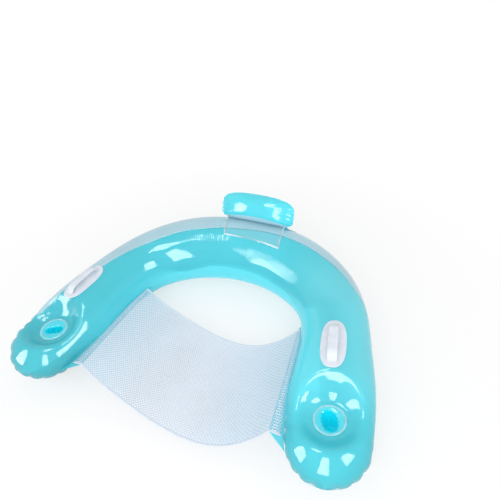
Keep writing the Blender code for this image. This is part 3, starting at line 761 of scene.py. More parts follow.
def oval(across, along, power):
    """A place in a square moved onto a rounded rectangle: across, along and radius shares."""
    disc = (across * math.sqrt(1 - along ** 2 / 2), along * math.sqrt(1 - across ** 2 / 2))
    radius = math.hypot(*disc)
    if radius < 1e-9:
        return 0, 0, 0
    swell = (abs(disc[0] / radius) ** power + abs(disc[1] / radius) ** power) ** (-1 / power)
    return disc[0] * swell, disc[1] * swell, min(radius, 1)


def side_name(side):
    return "left" if side < 0 else "right"


class Nodes:
    """Adds nodes to a tree: most calls give back the new node's output."""

    def __init__(self, tree):
        self.tree = tree

    def put(self, socket, value):
        """Set a socket to a plain value, or link it to another socket."""
        if isinstance(value, bpy.types.NodeSocket):
            self.tree.links.new(value, socket)
        else:
            socket.default_value = value

    def add(self, kind, fields=None, **values):
        node = self.tree.nodes.new("ShaderNode" + kind)
        for name, value in (fields or {}).items():
            setattr(node, name, value)
        for name, value in values.items():
            self.put(node.inputs[name], value)
        return node

    def sum(self, operation, first, second=0.0):
        node = self.add("Math", {"operation": operation})
        self.put(node.inputs[0], first)
        self.put(node.inputs[1], second)
        return node.outputs[0]

    def times(self, first, second):
        return self.sum("MULTIPLY", first, second)

    def waves(self, value, pitch):
        return self.sum("SINE", self.times(value, 2 * math.pi / pitch))

    def seen(self):
        """1 for rays of the camera, and for those that a gloss or a clear film sends on."""
        path = self.add("LightPath").outputs
        seen = path["Is Camera Ray"]
        for name in ("Is Glossy Ray", "Is Transmission Ray"):
            seen = self.sum("MAXIMUM", seen, path[name])
        return seen

    def mix_shaders(self, share, first, second, output):
        mix = self.add("MixShader")
        for socket, value in zip(mix.inputs, (share, first.outputs[0], second.outputs[0])):
            self.put(socket, value)
        self.put(output.inputs["Surface"], mix.outputs[0])


class Finish(Nodes):
    """A Principled material and the nodes that feed it."""

    def __init__(self, name, **values):
        self.material = bpy.data.materials.new(name)
        self.material.use_nodes = True
        super().__init__(self.material.node_tree)
        self.shader = self.tree.nodes["Principled BSDF"]
        self.place = self.add("TexCoord").outputs["Object"]
        for name, value in values.items():
            self.feed(name.replace("_", " ").title().replace("Ior", "IOR"), value)

    def feed(self, name, value):
        self.put(self.shader.inputs[name], value)

    def surface(self):
        """The two coordinates of a sheet's own UV map."""
        parts = self.add("SeparateXYZ", Vector=self.add("UVMap", {"uv_map": "surface"}).outputs["UV"])
        return parts.outputs["X"], parts.outputs["Y"]

    def cloud(self, scale, detail=2.0):
        return self.add("TexNoise", Vector=self.place, Scale=scale, Detail=detail).outputs["Fac"]

    def range(self, value, low, high, to_low, to_high):
        node = self.add("MapRange", Value=value)
        for i, number in enumerate((low, high, to_low, to_high)):
            node.inputs[i + 1].default_value = number
        return node.outputs[0]

    def between(self, share, first, second):
        """Mix two colours, each a plain colour or a socket."""
        mix = self.add("Mix", {"data_type": "RGBA"})
        self.put(mix.inputs[0], share)
        for socket, value in ((mix.inputs[6], first), (mix.inputs[7], second)):
            self.put(socket, value if isinstance(value, bpy.types.NodeSocket) else (*value[:3], 1))
        return mix.outputs[2]

    def clouded(self, colour, scale, low, high):
        """A colour that drifts between two shares of itself."""
        return self.between(self.range(self.cloud(scale), *CLOUDS), scaled(colour, low), scaled(colour, high))

    def roughen(self, scale, low, high):
        self.feed("Roughness", self.range(self.cloud(scale), *ROUGH_CLOUDS, low, high))

    def band_edge(self, place):
        """The height of the lit band's upper edge at a place along the tube, as a share of half a turn."""
        curve = self.add("FloatCurve", Value=self.range(place, -1, 1, 0, 1), Factor=1.0)
        points = curve.mapping.curves[0].points
        while len(points) < len(band_edge_places):
            points.new(0.5, 0.5)
        for point, along, share in zip(points, band_edge_places, band_edge_shares):
            point.location = ((along + 1) / 2, share - 0.5)
            point.handle_type = "VECTOR"
        curve.mapping.update()
        return self.sum("ADD", curve.outputs[0], 0.5)

    def bump(self, height, strength, distance):
        node = self.add("Bump", Height=height, Strength=strength, Distance=distance)
        self.feed("Normal", node.outputs["Normal"])


def scaled(colour, share):
    return [channel * share for channel in colour[:3]]


def films():
    return bpy.context.scene.pool_chair_films


def pale():
    return bpy.context.scene.pool_chair_pale_parts


def tube_tint(film, body):
    """Painted light and shade on the tube: a lit band low inside it, a darker left arm and low ends, and a
    lighter right arm.
    """
    colour = films().cyan
    bright = films().cyan_painted_light
    along, turn = film.surface()
    turn = film.sum("ADD", turn, film.range(film.cloud(5), *BAND_WOBBLE))
    far = film.sum("ABSOLUTE", along)
    above = film.sum("SUBTRACT", turn, film.band_edge(along))
    soft = film.range(far, *BAND_SOFTNESS)
    # A painted lit band low inside the tube, with soft edges, weaker on the arms and gone at their ends
    lit = film.sum("DIVIDE", film.sum("ADD", above, soft), film.times(soft, 2.0))
    lit = film.times(film.range(lit, 0, 1, 0, 1), film.range(far, *BAND_ON_ARMS))
    lit = film.times(lit, film.range(far, *BAND_AT_ENDS))
    # Painted shade: the left arm darker
    body = film.between(film.range(along, *LEFT_ARM_PAINTED_SHADE), body, scaled(colour, 0.84))
    # Painted light: the right arm lighter, but not at its end
    painted_light_share = film.times(film.range(along, *RIGHT_ARM), film.range(along, *RIGHT_ARM_END))
    body = film.between(painted_light_share, body, PAINTED_LIGHT_CYAN)
    # Painted shade: the arm ends darker low down
    level = film.add("SeparateXYZ", Vector=film.place).outputs["Z"]
    low_painted_shade = film.times(film.range(far, *LOW_ENDS), film.range(level, *LOW_LEVELS))
    body = film.between(low_painted_shade, body, scaled(colour, 0.6))
    # Painted shade: a darker strip just above the lit band
    shade = film.times(film.range(above, *SHADE_START), film.range(above, *SHADE_END))
    body = film.between(film.times(shade, 0.5), body, scaled(colour, 0.9))
    # Painted light: the lit band also gives off light of its own colour
    film.feed("Emission Color", film.between(lit, BLACK, bright))
    film.feed("Emission Strength", 0.1)
    return film.between(lit, body, bright)


def pillow_tint(film, body):
    """The pillow's pearly foot, below a curved line."""
    side, up = film.surface()
    above = film.sum("ADD", up, film.times(side, side))
    return film.between(film.range(above, *PILLOW_FOOT), body, films().pearl)


def cup_tint(film, body):
    """Painted light given off by the inside of the cup's well, below its paler neck."""
    inside = film.range(film.surface()[1], *CUP_INSIDE)
    # Painted light: the inside of the well gives off light of the cup's colour
    film.feed("Emission Color", film.between(inside, BLACK, films().cup))
    film.feed("Emission Strength", 0.17)
    return film.between(inside, films().cyan, body)


def film_finish(name, colour, opacity, tint=None):
    """Clear coloured vinyl: soft mottling, fine waviness, and the tint of one piece alone."""
    gloss = films().gloss
    film = Finish(name, ior=VINYL_IOR, alpha=opacity)
    body = film.clouded(colour, scale=3.2, low=0.94, high=1.06)
    film.feed("Base Color", tint(film, body) if tint else body)
    film.roughen(scale=14, low=gloss * 0.8, high=gloss * 1.5)
    waviness = film.sum("ADD", film.cloud(42, detail=3.0), film.cloud(9))
    film.bump(waviness, strength=0.05, distance=0.0012)
    return film.material


def weld_finish(name, colour, opacity, painted_glow, worn=None):
    """A heat-welded band, ribbed by the welding tool, fainter in its middle where it is worn; it gives off
    painted light of its own colour, as strong as asked.
    """
    gloss = films().gloss
    weld = Finish(name, ior=VINYL_IOR, alpha=opacity, emission_color=(*colour, 1), emission_strength=painted_glow)
    weld.feed("Base Color", weld.clouded(colour, scale=40, low=0.92, high=1.05))
    weld.roughen(scale=60, low=gloss * 2, high=gloss * 4)
    along = weld.surface()[0]
    if worn is not None:
        off_middle = weld.sum("ABSOLUTE", weld.sum("ADD", along, 0.02))
        weld.feed("Alpha", weld.range(off_middle, *WORN_WELD, worn, opacity))
    weld.bump(weld.waves(along, RIB_PITCH), strength=0.25, distance=0.0004)
    return weld.material


def white_finish(name, colour):
    """White vinyl sheet with a fine lengthwise grain."""
    white = Finish(name, ior=1.3)
    white.feed("Base Color", white.clouded(colour, scale=26, low=0.95, high=1.04))
    white.roughen(scale=45, low=0.54, high=0.68)
    grain = white.times(white.waves(white.surface()[1], GRAIN_PITCH), 0.4)
    white.bump(white.sum("ADD", grain, white.cloud(70, detail=3.0)), strength=0.2, distance=0.0006)
    return white.material


def moulded_finish(name, colour, roughness, opacity=1.0):
    """Injection-moulded vinyl for the small parts."""
    moulded = Finish(name, ior=1.45, alpha=opacity)
    moulded.feed("Base Color", moulded.clouded(colour, scale=180, low=0.95, high=1.03))
    moulded.roughen(scale=260, low=roughness * 0.8, high=roughness * 1.3)
    moulded.bump(moulded.cloud(700), strength=0.08, distance=0.0002)
    return moulded.material


def net_finish(name, colour, pitch):
    """Open diamond net of round threads: the holes are cut out by Alpha."""
    net = Finish(name, ior=1.45)
    across, along = net.surface()
    threads = []
    for operation in ("ADD", "SUBTRACT"):
        slant = net.times(net.sum(operation, across, along), math.pi / pitch)
        threads.append(net.sum("ABSOLUTE", net.sum("COSINE", slant)))
    thread = net.sum("MAXIMUM", *threads)
    off_middle = net.sum("ABSOLUTE", net.sum("SUBTRACT", across, NET_WIDTH / 2))
    body = net.clouded(colour, scale=5, low=0.95, high=1.05)
    net.feed("Base Color", net.between(net.range(off_middle, *NET_SIDES), body, SIDE_NET_BLUE))
    net.feed("Alpha", net.range(thread, *NET_THREADS))
    net.roughen(scale=200, low=0.5, high=0.72)
    net.bump(thread, strength=0.4, distance=0.0005)
    return net.material


def hem_finish(name, colour):
    """Plainly woven binding."""
    hem = Finish(name, base_color=(*colour, 1))
    run, across = hem.surface()
    weave = hem.times(hem.waves(run, WEAVE_PITCH), hem.waves(across, WEAVE_PITCH))
    hem.feed("Roughness", hem.range(weave, -1, 1, 0.62, 0.82))
    hem.bump(weave, strength=0.35, distance=0.0004)
    return hem.material


MADE = {}
FINISHES = {
    "cyan tube film": lambda name: film_finish(name, films().cyan, films().opacity, tube_tint),
    "cyan film": lambda name: film_finish(name, films().cyan, films().opacity),
    "pillow film": lambda name: film_finish(name, films().cyan, opacity=0.92, tint=pillow_tint),
    "pearly film": lambda name: film_finish(name, films().pearl, opacity=0.8),
    "cup film": lambda name: film_finish(name, films().cup, opacity=0.9, tint=cup_tint),
    "clear film": lambda name: film_finish(name, pale().clear, opacity=0.12),
    "tube weld": lambda name: weld_finish(name, scaled(films().cyan_painted_light, 0.95), opacity=0.45, painted_glow=0),
    # The pale, skirt and cup welds give off painted light so that they read pale
    "pale weld": lambda name: weld_finish(name, PALE_WELD, opacity=0.6, painted_glow=0.2),
    "skirt weld": lambda name: weld_finish(name, PALE_WELD, opacity=0.6, painted_glow=0.2, worn=0.06),
    "skirt edge": lambda name: weld_finish(name, PALE_WELD, opacity=0.3, painted_glow=0.1),
    "cup weld": lambda name: weld_finish(name, CUP_WELD, opacity=0.4, painted_glow=0.2),
    "white vinyl": lambda name: white_finish(name, pale().vinyl),
    "white moulding": lambda name: moulded_finish(name, pale().vinyl, roughness=0.3),
    "clear moulding": lambda name: moulded_finish(name, pale().clear, roughness=0.15, opacity=0.5),
    "seat net": lambda name: net_finish(name, pale().mesh, bpy.context.scene.pool_chair_seat.thread_pitch),
    "woven hem": lambda name: hem_finish(name, pale().hem),
}


def finish(name):
    """A shared material, made when it is first asked for."""
    if name not in bpy.data.materials or name not in MADE:
        MADE[name] = FINISHES[name](name)
    return MADE[name]


def on_back(seat, lean=0, drop=0):
    """A matrix that turns a piece's own +Z to +Y, or as far below it as a lean says, at its seat."""
    turn = Matrix.Rotation(-math.pi / 2 - lean, 4, "X")
    return Matrix.Translation(seat) @ turn @ Matrix.Translation((0, 0, -drop))


def main_valve_seat():
    """The middle of the tube's outer wall at the back."""
    return TUBE.plain_point(0, 0)


def leant(across, out, up):
    """A vector given across the leaning pillow, out behind it and up it."""
    return Matrix.Rotation(-PILLOW_LEAN, 3, "X") @ Vector((across, out, up))


def pillow_centre():
    seat = TUBE.plain_point(PILLOW_SIDE_STEP, PILLOW_SEAT_ANGLE)
    return Vector((PILLOW_SIDE_STEP, seat.y, seat.z + PILLOW_SEAT_RISE)) + leant(0, 0, PILLOW_HEIGHT / 2)


def pillow_valve_seat():
    return pillow_centre() + leant(0, GAP / 2 + FILM + PILLOW_THICKNESS / 2, 0)


def build_films():
    """The two films that hold the air."""
    mouth = Vector((0, 0, CUP_MOUTH_HEIGHT))
    cups = [(Matrix.Translation(TUBE.cup_centre(side) + mouth), CUP_HOLE_RADIUS, CUT_OVERRUN)
            for side in (-1, 1)]
    valve = [(on_back(main_valve_seat()), VALVE_SPIGOT_RADIUS + FILM, CUT_OVERRUN)]
    for name, lower, columns, look, slot, holes in (
            ("upper_film", False, UPPER_COLUMNS, "cyan tube film", "cyan_film", cups),
            ("lower_film", True, LOWER_COLUMNS, "pearly film", "pearl_film", valve)):
        def grid_point(row, column):
            return skin_point(PLACES[-1 - row], spread(column / columns, evenness=0.6), lower)

        mesh = bent_grid(len(PLACES), columns + 1, grid_point)
        cut_holes(add_sheet(name + "_skin", mesh, look, [name], FILM), holes)


def build_tube_welds():
    """The welded bands along both seams."""
    for seam, name in enumerate(("outer", "inner")):
        def band_point(row, column):
            place = PLACES[-1 - row]
            here = TUBE.section(place)
            radius = (here.wide + here.high) / 2 * max(here.shrink, 0.05)
            across = (column / WELD_COLUMNS - 0.5) * WELD_WIDTH
            point = film_point(place, TUBE.seams(place)[seam] + across / radius, WELD_LIFT)
            return point, (SEAM_RUNS[place][seam], across)

        add_sheet("tube_weld_" + name, bent_grid(len(PLACES), WELD_COLUMNS + 1, band_point),
                  "tube weld", (), FILM, outwards=True)


def build_cup(side):
    """A soft well gathered at its mouth, and the ring welded round it."""
    sizes = bpy.context.scene.pool_chair_cups
    gather = sizes.left_gather if side < 0 else sizes.right_gather
    centre = TUBE.cup_centre(side) + Vector((0, 0, CUP_MOUTH_HEIGHT))
    outer = CUP_HOLE_RADIUS - FILM
    inner = outer - CUP_RING_LAP
    wide = inner + sizes.ring_width
    mouth = inner - FILM
    ring = [(inner, -0.0011), (outer, -0.0011), (outer, 0.0005), (wide, 0.0005), (wide, 0.0009),
            (wide - 0.001, 0.0013), (wide - 0.003, 0.0011), (inner + 0.003, 0.0012),
            (inner + 0.0015, 0.0019), (inner + 0.0004, 0.0017), (inner, 0.0011)]
    name = side_name(side)
    ring = turned(ring, 96, Matrix.Translation(centre))
    add_piece("cup_ring_" + name, ring, "cup weld", ["cup_collar_" + name])

    def well_point(row, column):
        turn = 2 * math.pi * row / CUP_STEPS
        share = column / CUP_LEVELS
        wander = 1.4 * drift(math.cos(turn) * 1.5, math.sin(turn) * 1.5, side)
        folds = 0.5 + 0.5 * math.cos(CUP_FOLDS * turn + wander)
        slot = 1 - gather * (0.35 + 0.65 * abs(math.sin(turn - cup_slants[side])) ** 1.5)
        neck = mouth * slot - CUP_NECK_FOLD * folds
        if share < cup_neck_share:
            t = share / cup_neck_share
            radius = mouth + (mouth * slot - CUP_NECK_FOLD * folds * t - mouth) * soft_step(t, 0, 1)
            z = CUP_LIP - (CUP_LIP + CUP_NECK_DEPTH) * t ** 2.4
        elif share < cup_floor_share:
            t = (share - cup_neck_share) / (cup_floor_share - cup_neck_share)
            body = mouth - CUP_SHOULDER - CUP_TAPER * t - CUP_BODY_FOLD * folds * (1 - 0.5 * t)
            radius = neck + (body - neck) * soft_step(t, 0, 0.35)
            z = -CUP_NECK_DEPTH - (CUP_DEPTH - CUP_NECK_DEPTH) * t
        else:
            t = (share - cup_floor_share) / (1 - cup_floor_share)
            radius = (mouth - CUP_SHOULDER - CUP_TAPER - CUP_BODY_FOLD / 2 * folds) * (1 - t)
            z = -CUP_DEPTH + CUP_FLOOR_RISE * math.sin(math.pi * t) * t
        point = centre + Vector((radius * math.cos(turn), radius * math.sin(turn), z))
        return point, (turn * mouth, share * CUP_DEPTH)

    well = bent_grid(CUP_STEPS + 1, CUP_LEVELS + 1, well_point)
    bmesh.ops.recalc_face_normals(well, faces=well.faces)
    add_sheet("cup_pocket_" + name, well, "cup film", ["cup_well_" + name], CUP_WALL)


def on_arm(side, along, across, lift):
    """A point on an arm's crown, measured from the middle of its handle."""
    place = side * (handle_place_shares[side > 0] * TUBE.run + along)
    wide = TUBE.section(place).wide
    return TUBE.plain_point(place, math.pi / 2 - side * (across - HANDLE_SIDE_STEP) / wide, lift)


def build_handle(side):
    """An oval plate with a pressed rim, and the strap that stands off it."""
    sizes = bpy.context.scene.pool_chair_handles
    name = side_name(side)

    def plate_point(row, column):
        across, along = centred(column, PLATE_COLUMNS), centred(row, PLATE_ROWS)
        across, along, radius = oval(across, along, PLATE_CORNER_POWER)
        rim = PLATE_RIM * bell(radius - 0.93, 0.03)
        groove = PLATE_GROOVE * bell(radius - 0.86, 0.02)
        hollow = PLATE_HOLLOW * math.exp(-(abs(across) / 0.42) ** 4) * (1 - soft_step(abs(along), 0.6, 0.78))
        length, width = along * sizes.length / 2, across * sizes.width / 2
        return on_arm(side, length, width, LIFT + PLATE_FOOT + rim - groove - hollow), (length, width)

    def strap_point(row, column):
        along, across = centred(row, STRAP_ROWS), centred(column, STRAP_COLUMNS)
        arch = sizes.grip_rise * math.sin(math.pi / 2 * (1 - along ** 4)) ** 2
        end = soft_step(abs(along), 0.9, 1)
        waist = 1 - 0.12 * (1 - abs(along) ** 3) + 0.1 * end - 0.3 * soft_step(abs(along), 0.97, 1)
        curl = STRAP_CURL * across ** 2 * (1 - end) * min(arch / STRAP_CURL_RISE, 1)
        rib = STRAP_RIB * math.cos(across * STRAP_RIBS * math.pi) * (1 - end)
        length, width = along * sizes.grip_length / 2, across * sizes.grip_width / 2 * waist
        return on_arm(side, length, width, LIFT + STRAP_FOOT + arch - curl + rib), (length, width)

    plate = bent_grid(PLATE_ROWS, PLATE_COLUMNS, plate_point)
    add_sheet("handle_patch_" + name, plate, "white vinyl", ["handle_plate_" + name],
              PLATE_WALL, sharp=HANDLE_SHARP_ANGLE)
    strap = bent_grid(STRAP_ROWS, STRAP_COLUMNS, strap_point)
    add_sheet("handle_strap_" + name, strap, "white vinyl", ["handle_grip_" + name],
              STRAP_WALL, outwards=True, sharp=HANDLE_SHARP_ANGLE)


def pillow_point(across, along, facing):
    """A point of the pillow: across runs up it, along runs from left to right."""
    up, side, radius = oval(across, along, PILLOW_LOW_POWER if across < 0 else PILLOW_TOP_POWER)
    run = 0.11 * math.atan2(up * PILLOW_HEIGHT, side * PILLOW_WIDTH) + 0.03 * side
    inside = min(radius / (1 - pillow_weld_share), 1)
    depth = PILLOW_THICKNESS / 2 * (1 - inside ** 2) ** PILLOW_CROWN_POWER
    wrinkle = crease(run, PILLOW_CREASE_PITCH, 3 + facing) * soft_step(inside, 0.45, 0.9)
    depth -= min(PILLOW_CREASE_DEPTH * wrinkle, depth * 0.6)
    swell = 0.5 + 0.5 * drift(up * 2.5, side * 3, 5 * facing)
    depth -= PILLOW_SWELL_DEPTH * swell * min(depth / 0.01, 1)
    depth = max(depth, 0 if radius > 0.9999 else PILLOW_LIP)
    notch = 1 - 0.012 * crease(run, PILLOW_CREASE_PITCH, 2) * soft_step(radius, 0.9, 1)
    side *= PILLOW_WIDTH / 2
    up *= PILLOW_HEIGHT / 2
    return pillow_centre() + leant(side * notch, facing * depth, up * notch), (side, up)


def copy_into(mesh, part):
    """Add one bmesh's faces to another."""
    data = bpy.data.meshes.new("part")
    part.to_mesh(data)
    part.free()
    mesh.from_mesh(data)
    bpy.data.meshes.remove(data)


def build_pillow():
    """The air pillow: two crowned films puckered along their rim weld."""
    mesh = bmesh.new()
    for facing in (-1, 1):
        def half_point(row, column):
            across = spread(column / (PILLOW_COLUMNS - 1), evenness=0.5) * 2 - 1
            along = spread(row / (PILLOW_ROWS - 1), evenness=0.7) * 2 - 1
            return pillow_point(across, along, facing)

        copy_into(mesh, bent_grid(PILLOW_ROWS, PILLOW_COLUMNS, half_point))
    bmesh.ops.remove_doubles(mesh, verts=mesh.verts, dist=MERGE)
    bmesh.ops.recalc_face_normals(mesh, faces=mesh.faces)
    pillow = add_piece("air_pillow", mesh, "pillow film",
                       ["pillow_front_film", "pillow_back_film"])
    seat = on_back(pillow_valve_seat(), PILLOW_LEAN)
    cut_holes(pillow, [(seat, VALVE_SPIGOT_RADIUS + FILM, PILLOW_VALVE_CUT)])


def skirt_point(facing, weld, leave, along, share, lift=0):
    """A point of a skirt: along the pillow, and up from its weld on the tube."""
    middle = pillow_centre()
    up, side, _ = oval(-1, along, SKIRT_CORNER_POWER)
    rim = middle + leant(side * PILLOW_WIDTH / 2, facing * FILM, up * PILLOW_HEIGHT / 2)
    if share <= skirt_leave_share:
        climb = share / skirt_leave_share
        lean = skirt_flare_share * (rim.x - middle.x) + (SKIRT_WELD_STEP if facing < 0 else 0)
        return TUBE.plain_point(rim.x + lean * (1 - climb), weld + (leave - weld) * climb, LIFT + lift)
    start = TUBE.plain_point(rim.x, leave, LIFT + lift)
    rim += leant(0, facing * (FILM + lift), -2 * FILM)
    t = (share - skirt_leave_share) / (1 - skirt_leave_share)
    slack = -facing * SKIRT_SLACK * math.sin(math.pi * t) * (0.5 + 0.5 * drift(along * 6, facing))
    return start.lerp(rim, t) + Vector((0, slack, 0)) * (1 if t < 1 else 0)


def build_skirt(name, facing, weld, leave, look):
    """A film that ties the pillow down on the tube, with its welded edges."""
    def film_point(row, column):
        along = centred(row, SKIRT_ROWS)
        share = column / (SKIRT_COLUMNS - 1)
        return skirt_point(facing, weld, leave, along, share), (along * PILLOW_WIDTH / 2, share * SKIRT_RUN)

    def weld_point(row, column):
        along = centred(row, SKIRT_ROWS) * skirt_inset_share
        share = 0.005 + 0.045 * column / (SKIRT_WELD_COLUMNS - 1) + 0.03 * (1 - math.cos(along * 1.2))
        point = skirt_point(facing, weld, leave, along, share, SKIRT_WELD_LIFT)
        return point, (along * PILLOW_WIDTH / 2, column * 0.001)

    sheet = bent_grid(SKIRT_ROWS, SKIRT_COLUMNS, film_point)
    add_sheet(name + "_sheet", sheet, look, [name], FILM, outwards=facing < 0)
    band = bent_grid(SKIRT_ROWS, SKIRT_WELD_COLUMNS, weld_point)
    add_sheet(name + "_weld", band, "skirt weld", (), FILM, outwards=facing < 0)
    for side in (-1, 1):
        def edge_point(row, column):
            share = 0.02 + 0.955 * row / (SKIRT_EDGE_ROWS - 1)
            along = side * (skirt_inset_share - 0.05 * column / (SKIRT_EDGE_COLUMNS - 1))
            point = skirt_point(facing, weld, leave, along, share, SKIRT_WELD_LIFT)
            return point, (share * SKIRT_RUN, column * 0.001)

        edge = bent_grid(SKIRT_EDGE_ROWS, SKIRT_EDGE_COLUMNS, edge_point)
        if side * facing < 0:
            bmesh.ops.reverse_faces(edge, faces=edge.faces)
        add_sheet(name + "_edge_" + side_name(side), edge, "skirt edge", (), FILM,
                  outwards=facing < 0)


def wall_place(y):
    """Where the arm's inner wall reaches a given y, as a place along the tube."""
    low, high = 0, TUBE.run + ARM_CAP
    for _ in range(40):
        middle = (low + high) / 2
        if TUBE.plain_point(middle, SEAT_WALL_ANGLE).y > y + TUBE.shift:
            low = middle
        else:
            high = middle
    return middle


FIRST_WALL = wall_place(SEAT_BACK_Y)
LAST_WALL = wall_place(SEAT_FRONT_Y)
BACK_WALL_POINT = TUBE.plain_point(FIRST_WALL, SEAT_WALL_ANGLE, LIFT)
FRONT_WALL_POINT = TUBE.plain_point(LAST_WALL, SEAT_WALL_ANGLE, LIFT)


def seat_edge(share):
    """The strip at a share of the seat's length: its place on the wall and its free edge."""
    wall = TUBE.plain_point(FIRST_WALL + (LAST_WALL - FIRST_WALL) * share, SEAT_WALL_ANGLE, LIFT)
    back = BACK_WALL_POINT - Vector((STRIP_BACK_WIDTH, 0, STRIP_BACK_DROP))
    front = FRONT_WALL_POINT - Vector((STRIP_FRONT_WIDTH, 0, -STRIP_FRONT_RISE))
    return wall, back.lerp(front, share)


def strip_point(side, share, out):
    """A point of a welded strip, out from its free edge to the wall, past both ends too."""
    wall, free = seat_edge(min(max(share, 0), 1))
    if share > 1:
        past = (share - 1) / strip_front_share
        tip = TUBE.plain_point(LAST_WALL + STRIP_FRONT_TAB, SEAT_WALL_ANGLE, LIFT)
        wall = TUBE.plain_point(LAST_WALL + STRIP_FRONT_TAB * past, SEAT_WALL_ANGLE, LIFT)
        free = free.lerp(tip, past)
    elif share < 0:
        past = -share / strip_back_share
        wall = TUBE.plain_point(FIRST_WALL - STRIP_BACK_TAB * past, SEAT_WALL_ANGLE, LIFT)
        free = free + Vector((0, STRIP_BACK_TAB * past, 0)) + (wall - free) * 0.5 * past ** 2
    point = free.lerp(wall, out)
    return Vector((side * point.x, point.y, point.z))


def seat_wave(across, share):
    """The soft folds and wrinkles of the hanging net."""
    folds = sum(bell(across - place, seat_fold_width_share) for place in seat_fold_places_shares)
    edge = soft_step(min(across, 1 - across), 0, 0.1) * math.exp(-min(share, 1 - share) / 0.07)
    crimps = edge * math.sin(across * 60 + 3 * drift(across * 4, 2))
    wrinkles = drift(across * 9 + share * 1.5, share * 2.2) * math.sin(math.pi * across)
    height = folds * SEAT_FOLD_HEIGHT * math.sin(math.pi * share) ** 2
    return height + bpy.context.scene.pool_chair_seat.wrinkle * (wrinkles + 0.3 * crimps)


def seat_point(across, share, lift=0):
    """A point of the net: across from the left strip to the right one, past both as the laps."""
    wall, free = seat_edge(share)
    raised = Vector((0, 0, LIFT + SEAT_MESH + lift))
    if across < 0 or across > 1:
        side = -1 if across < 0 else 1
        lap = (-across if across < 0 else across - 1) / net_lap_share
        point = free.lerp(wall, seat_lap_share * lap)
        return Vector((side * point.x, point.y, point.z)) + raised
    hang = 4 * across * (1 - across)
    hang *= 1 + seat_skew_share * (across - 0.5) + seat_fullness_share * (2 * across - 1) ** 2
    pull = SEAT_BACK_DIP + (SEAT_FRONT_BULGE - SEAT_BACK_DIP) * share
    z = free.z - SEAT_SAG * hang + seat_wave(across, share)
    return Vector((free.x * (2 * across - 1), free.y - pull * hang, z)) + raised


def net_row(row):
    """How far across the seat a row of the net lies, from one lap's edge to the other's."""
    return -net_lap_share + (1 + 2 * net_lap_share) * row / (NET_ROWS - 1)


def build_seat():
    """The hanging net with its bound edges and the strips that carry it."""
    def net_point(row, column):
        across = net_row(row)
        share = column / (NET_COLUMNS - 1)
        return seat_point(across, share), (across * NET_WIDTH, share * SEAT_LENGTH)

    net = add_sheet("seat_net", bent_grid(NET_ROWS, NET_COLUMNS, net_point), "seat net",
                    ["seat_mesh"], SEAT_MESH, outwards=True)
    for name, start, turn in (("back", 0, 1), ("front", 1, -1)):
        def hem_point(row, column):
            across = net_row(row)
            fold = math.pi * 2 * column / BINDING_STEPS
            out = 0.5 - 0.5 * math.cos(fold)
            share = min(max(start + turn * BINDING_WIDTH / SEAT_LENGTH * out, 0), 1)
            height = BINDING_RISE * math.sin(fold) * (0.6 + 0.4 * out) + SEAT_MESH / 2
            point = seat_point(across, share, height)
            point.y += turn * BINDING_OVERHANG * (1 - out)
            return point, (across * NET_WIDTH, (out - 0.5) * BINDING_WIDTH)

        hem = bent_grid(NET_ROWS, BINDING_STEPS + 1, hem_point)
        bmesh.ops.holes_fill(hem, edges=[edge for edge in hem.edges if edge.is_boundary], sides=0)
        bmesh.ops.recalc_face_normals(hem, faces=hem.faces)
        add_piece("seat_binding_" + name, hem, "woven hem",
                              ["seat_{}_hem".format(name)])
    for side in (-1, 1):
        def sheet_point(row, column):
            reach = 1 + strip_back_share + strip_front_share
            share = -strip_back_share + reach * row / (STRIP_ROWS - 1)
            out = column / (STRIP_COLUMNS - 1)
            return strip_point(side, share, out), (share * SEAT_LENGTH, out * STRIP_RUN)

        name = side_name(side)
        strip = bent_grid(STRIP_ROWS, STRIP_COLUMNS, sheet_point)
        add_sheet("seat_band_" + name, strip, "cyan film", ["seat_strip_" + name],
                                STRIP_FILM, outwards=side < 0)
        build_seat_bars(side)


def build_seat_bars(side):
    """The row of short weld bars that hold the net on its strip."""
    mesh = bmesh.new()
    layer = mesh.loops.layers.uv.new("surface")
    edge = 0.5 + side * 0.5
    step = 0.01
    for i in range(BARS):
        share = 0.02 + 0.96 * i / (BARS - 1)
        start, end = (seat_point(edge + side * out, share, BAR_RISE) for out in bar_ends_shares)
        along = seat_point(edge + side * step, min(share + step, 1))
        along -= seat_point(edge + side * step, share - step)
        up = (end - start).cross(along).normalized() * side * BAR_HEIGHT / 2
        matrix = Matrix(((end - start) / 2, along.normalized() * BAR_WIDTH / 2, up)).transposed().to_4x4()
        matrix.translation = (start + end) / 2
        made = bmesh.ops.create_cube(mesh, size=2, matrix=matrix)["verts"]
        for face in {face for vertex in made for face in vertex.link_faces}:
            for loop in face.loops:
                loop[layer].uv = share * SEAT_LENGTH, 0
    bmesh.ops.recalc_face_normals(mesh, faces=mesh.faces)
    add_piece("seat_weld_bars_" + side_name(side), mesh, "pale weld")


def join_tongue(mesh, low, high, matrix):
    """Add a rounded tongue to a valve piece, from one height to another."""
    bar = bmesh.new()
    radius = (high - low) / 2
    outline = [(TONGUE_START, low)]
    for i in range(TONGUE_STEPS + 1):
        turn = math.pi * i / TONGUE_STEPS
        outline.append((TONGUE_REACH + radius * math.sin(turn), low + radius - radius * math.cos(turn)))
    outline.append((TONGUE_START, high))
    face = bar.faces.new([bar.verts.new((-TONGUE_WIDTH / 2, y, z)) for y, z in outline])
    sides = bmesh.ops.extrude_face_region(bar, geom=[face])["geom"]
    moved = [item for item in sides if isinstance(item, bmesh.types.BMVert)]
    bmesh.ops.translate(bar, verts=moved, vec=(TONGUE_WIDTH, 0, 0))
    bmesh.ops.recalc_face_normals(bar, faces=bar.faces)
    bmesh.ops.transform(bar, matrix=matrix, verts=bar.verts)
    copy_into(mesh, bar)


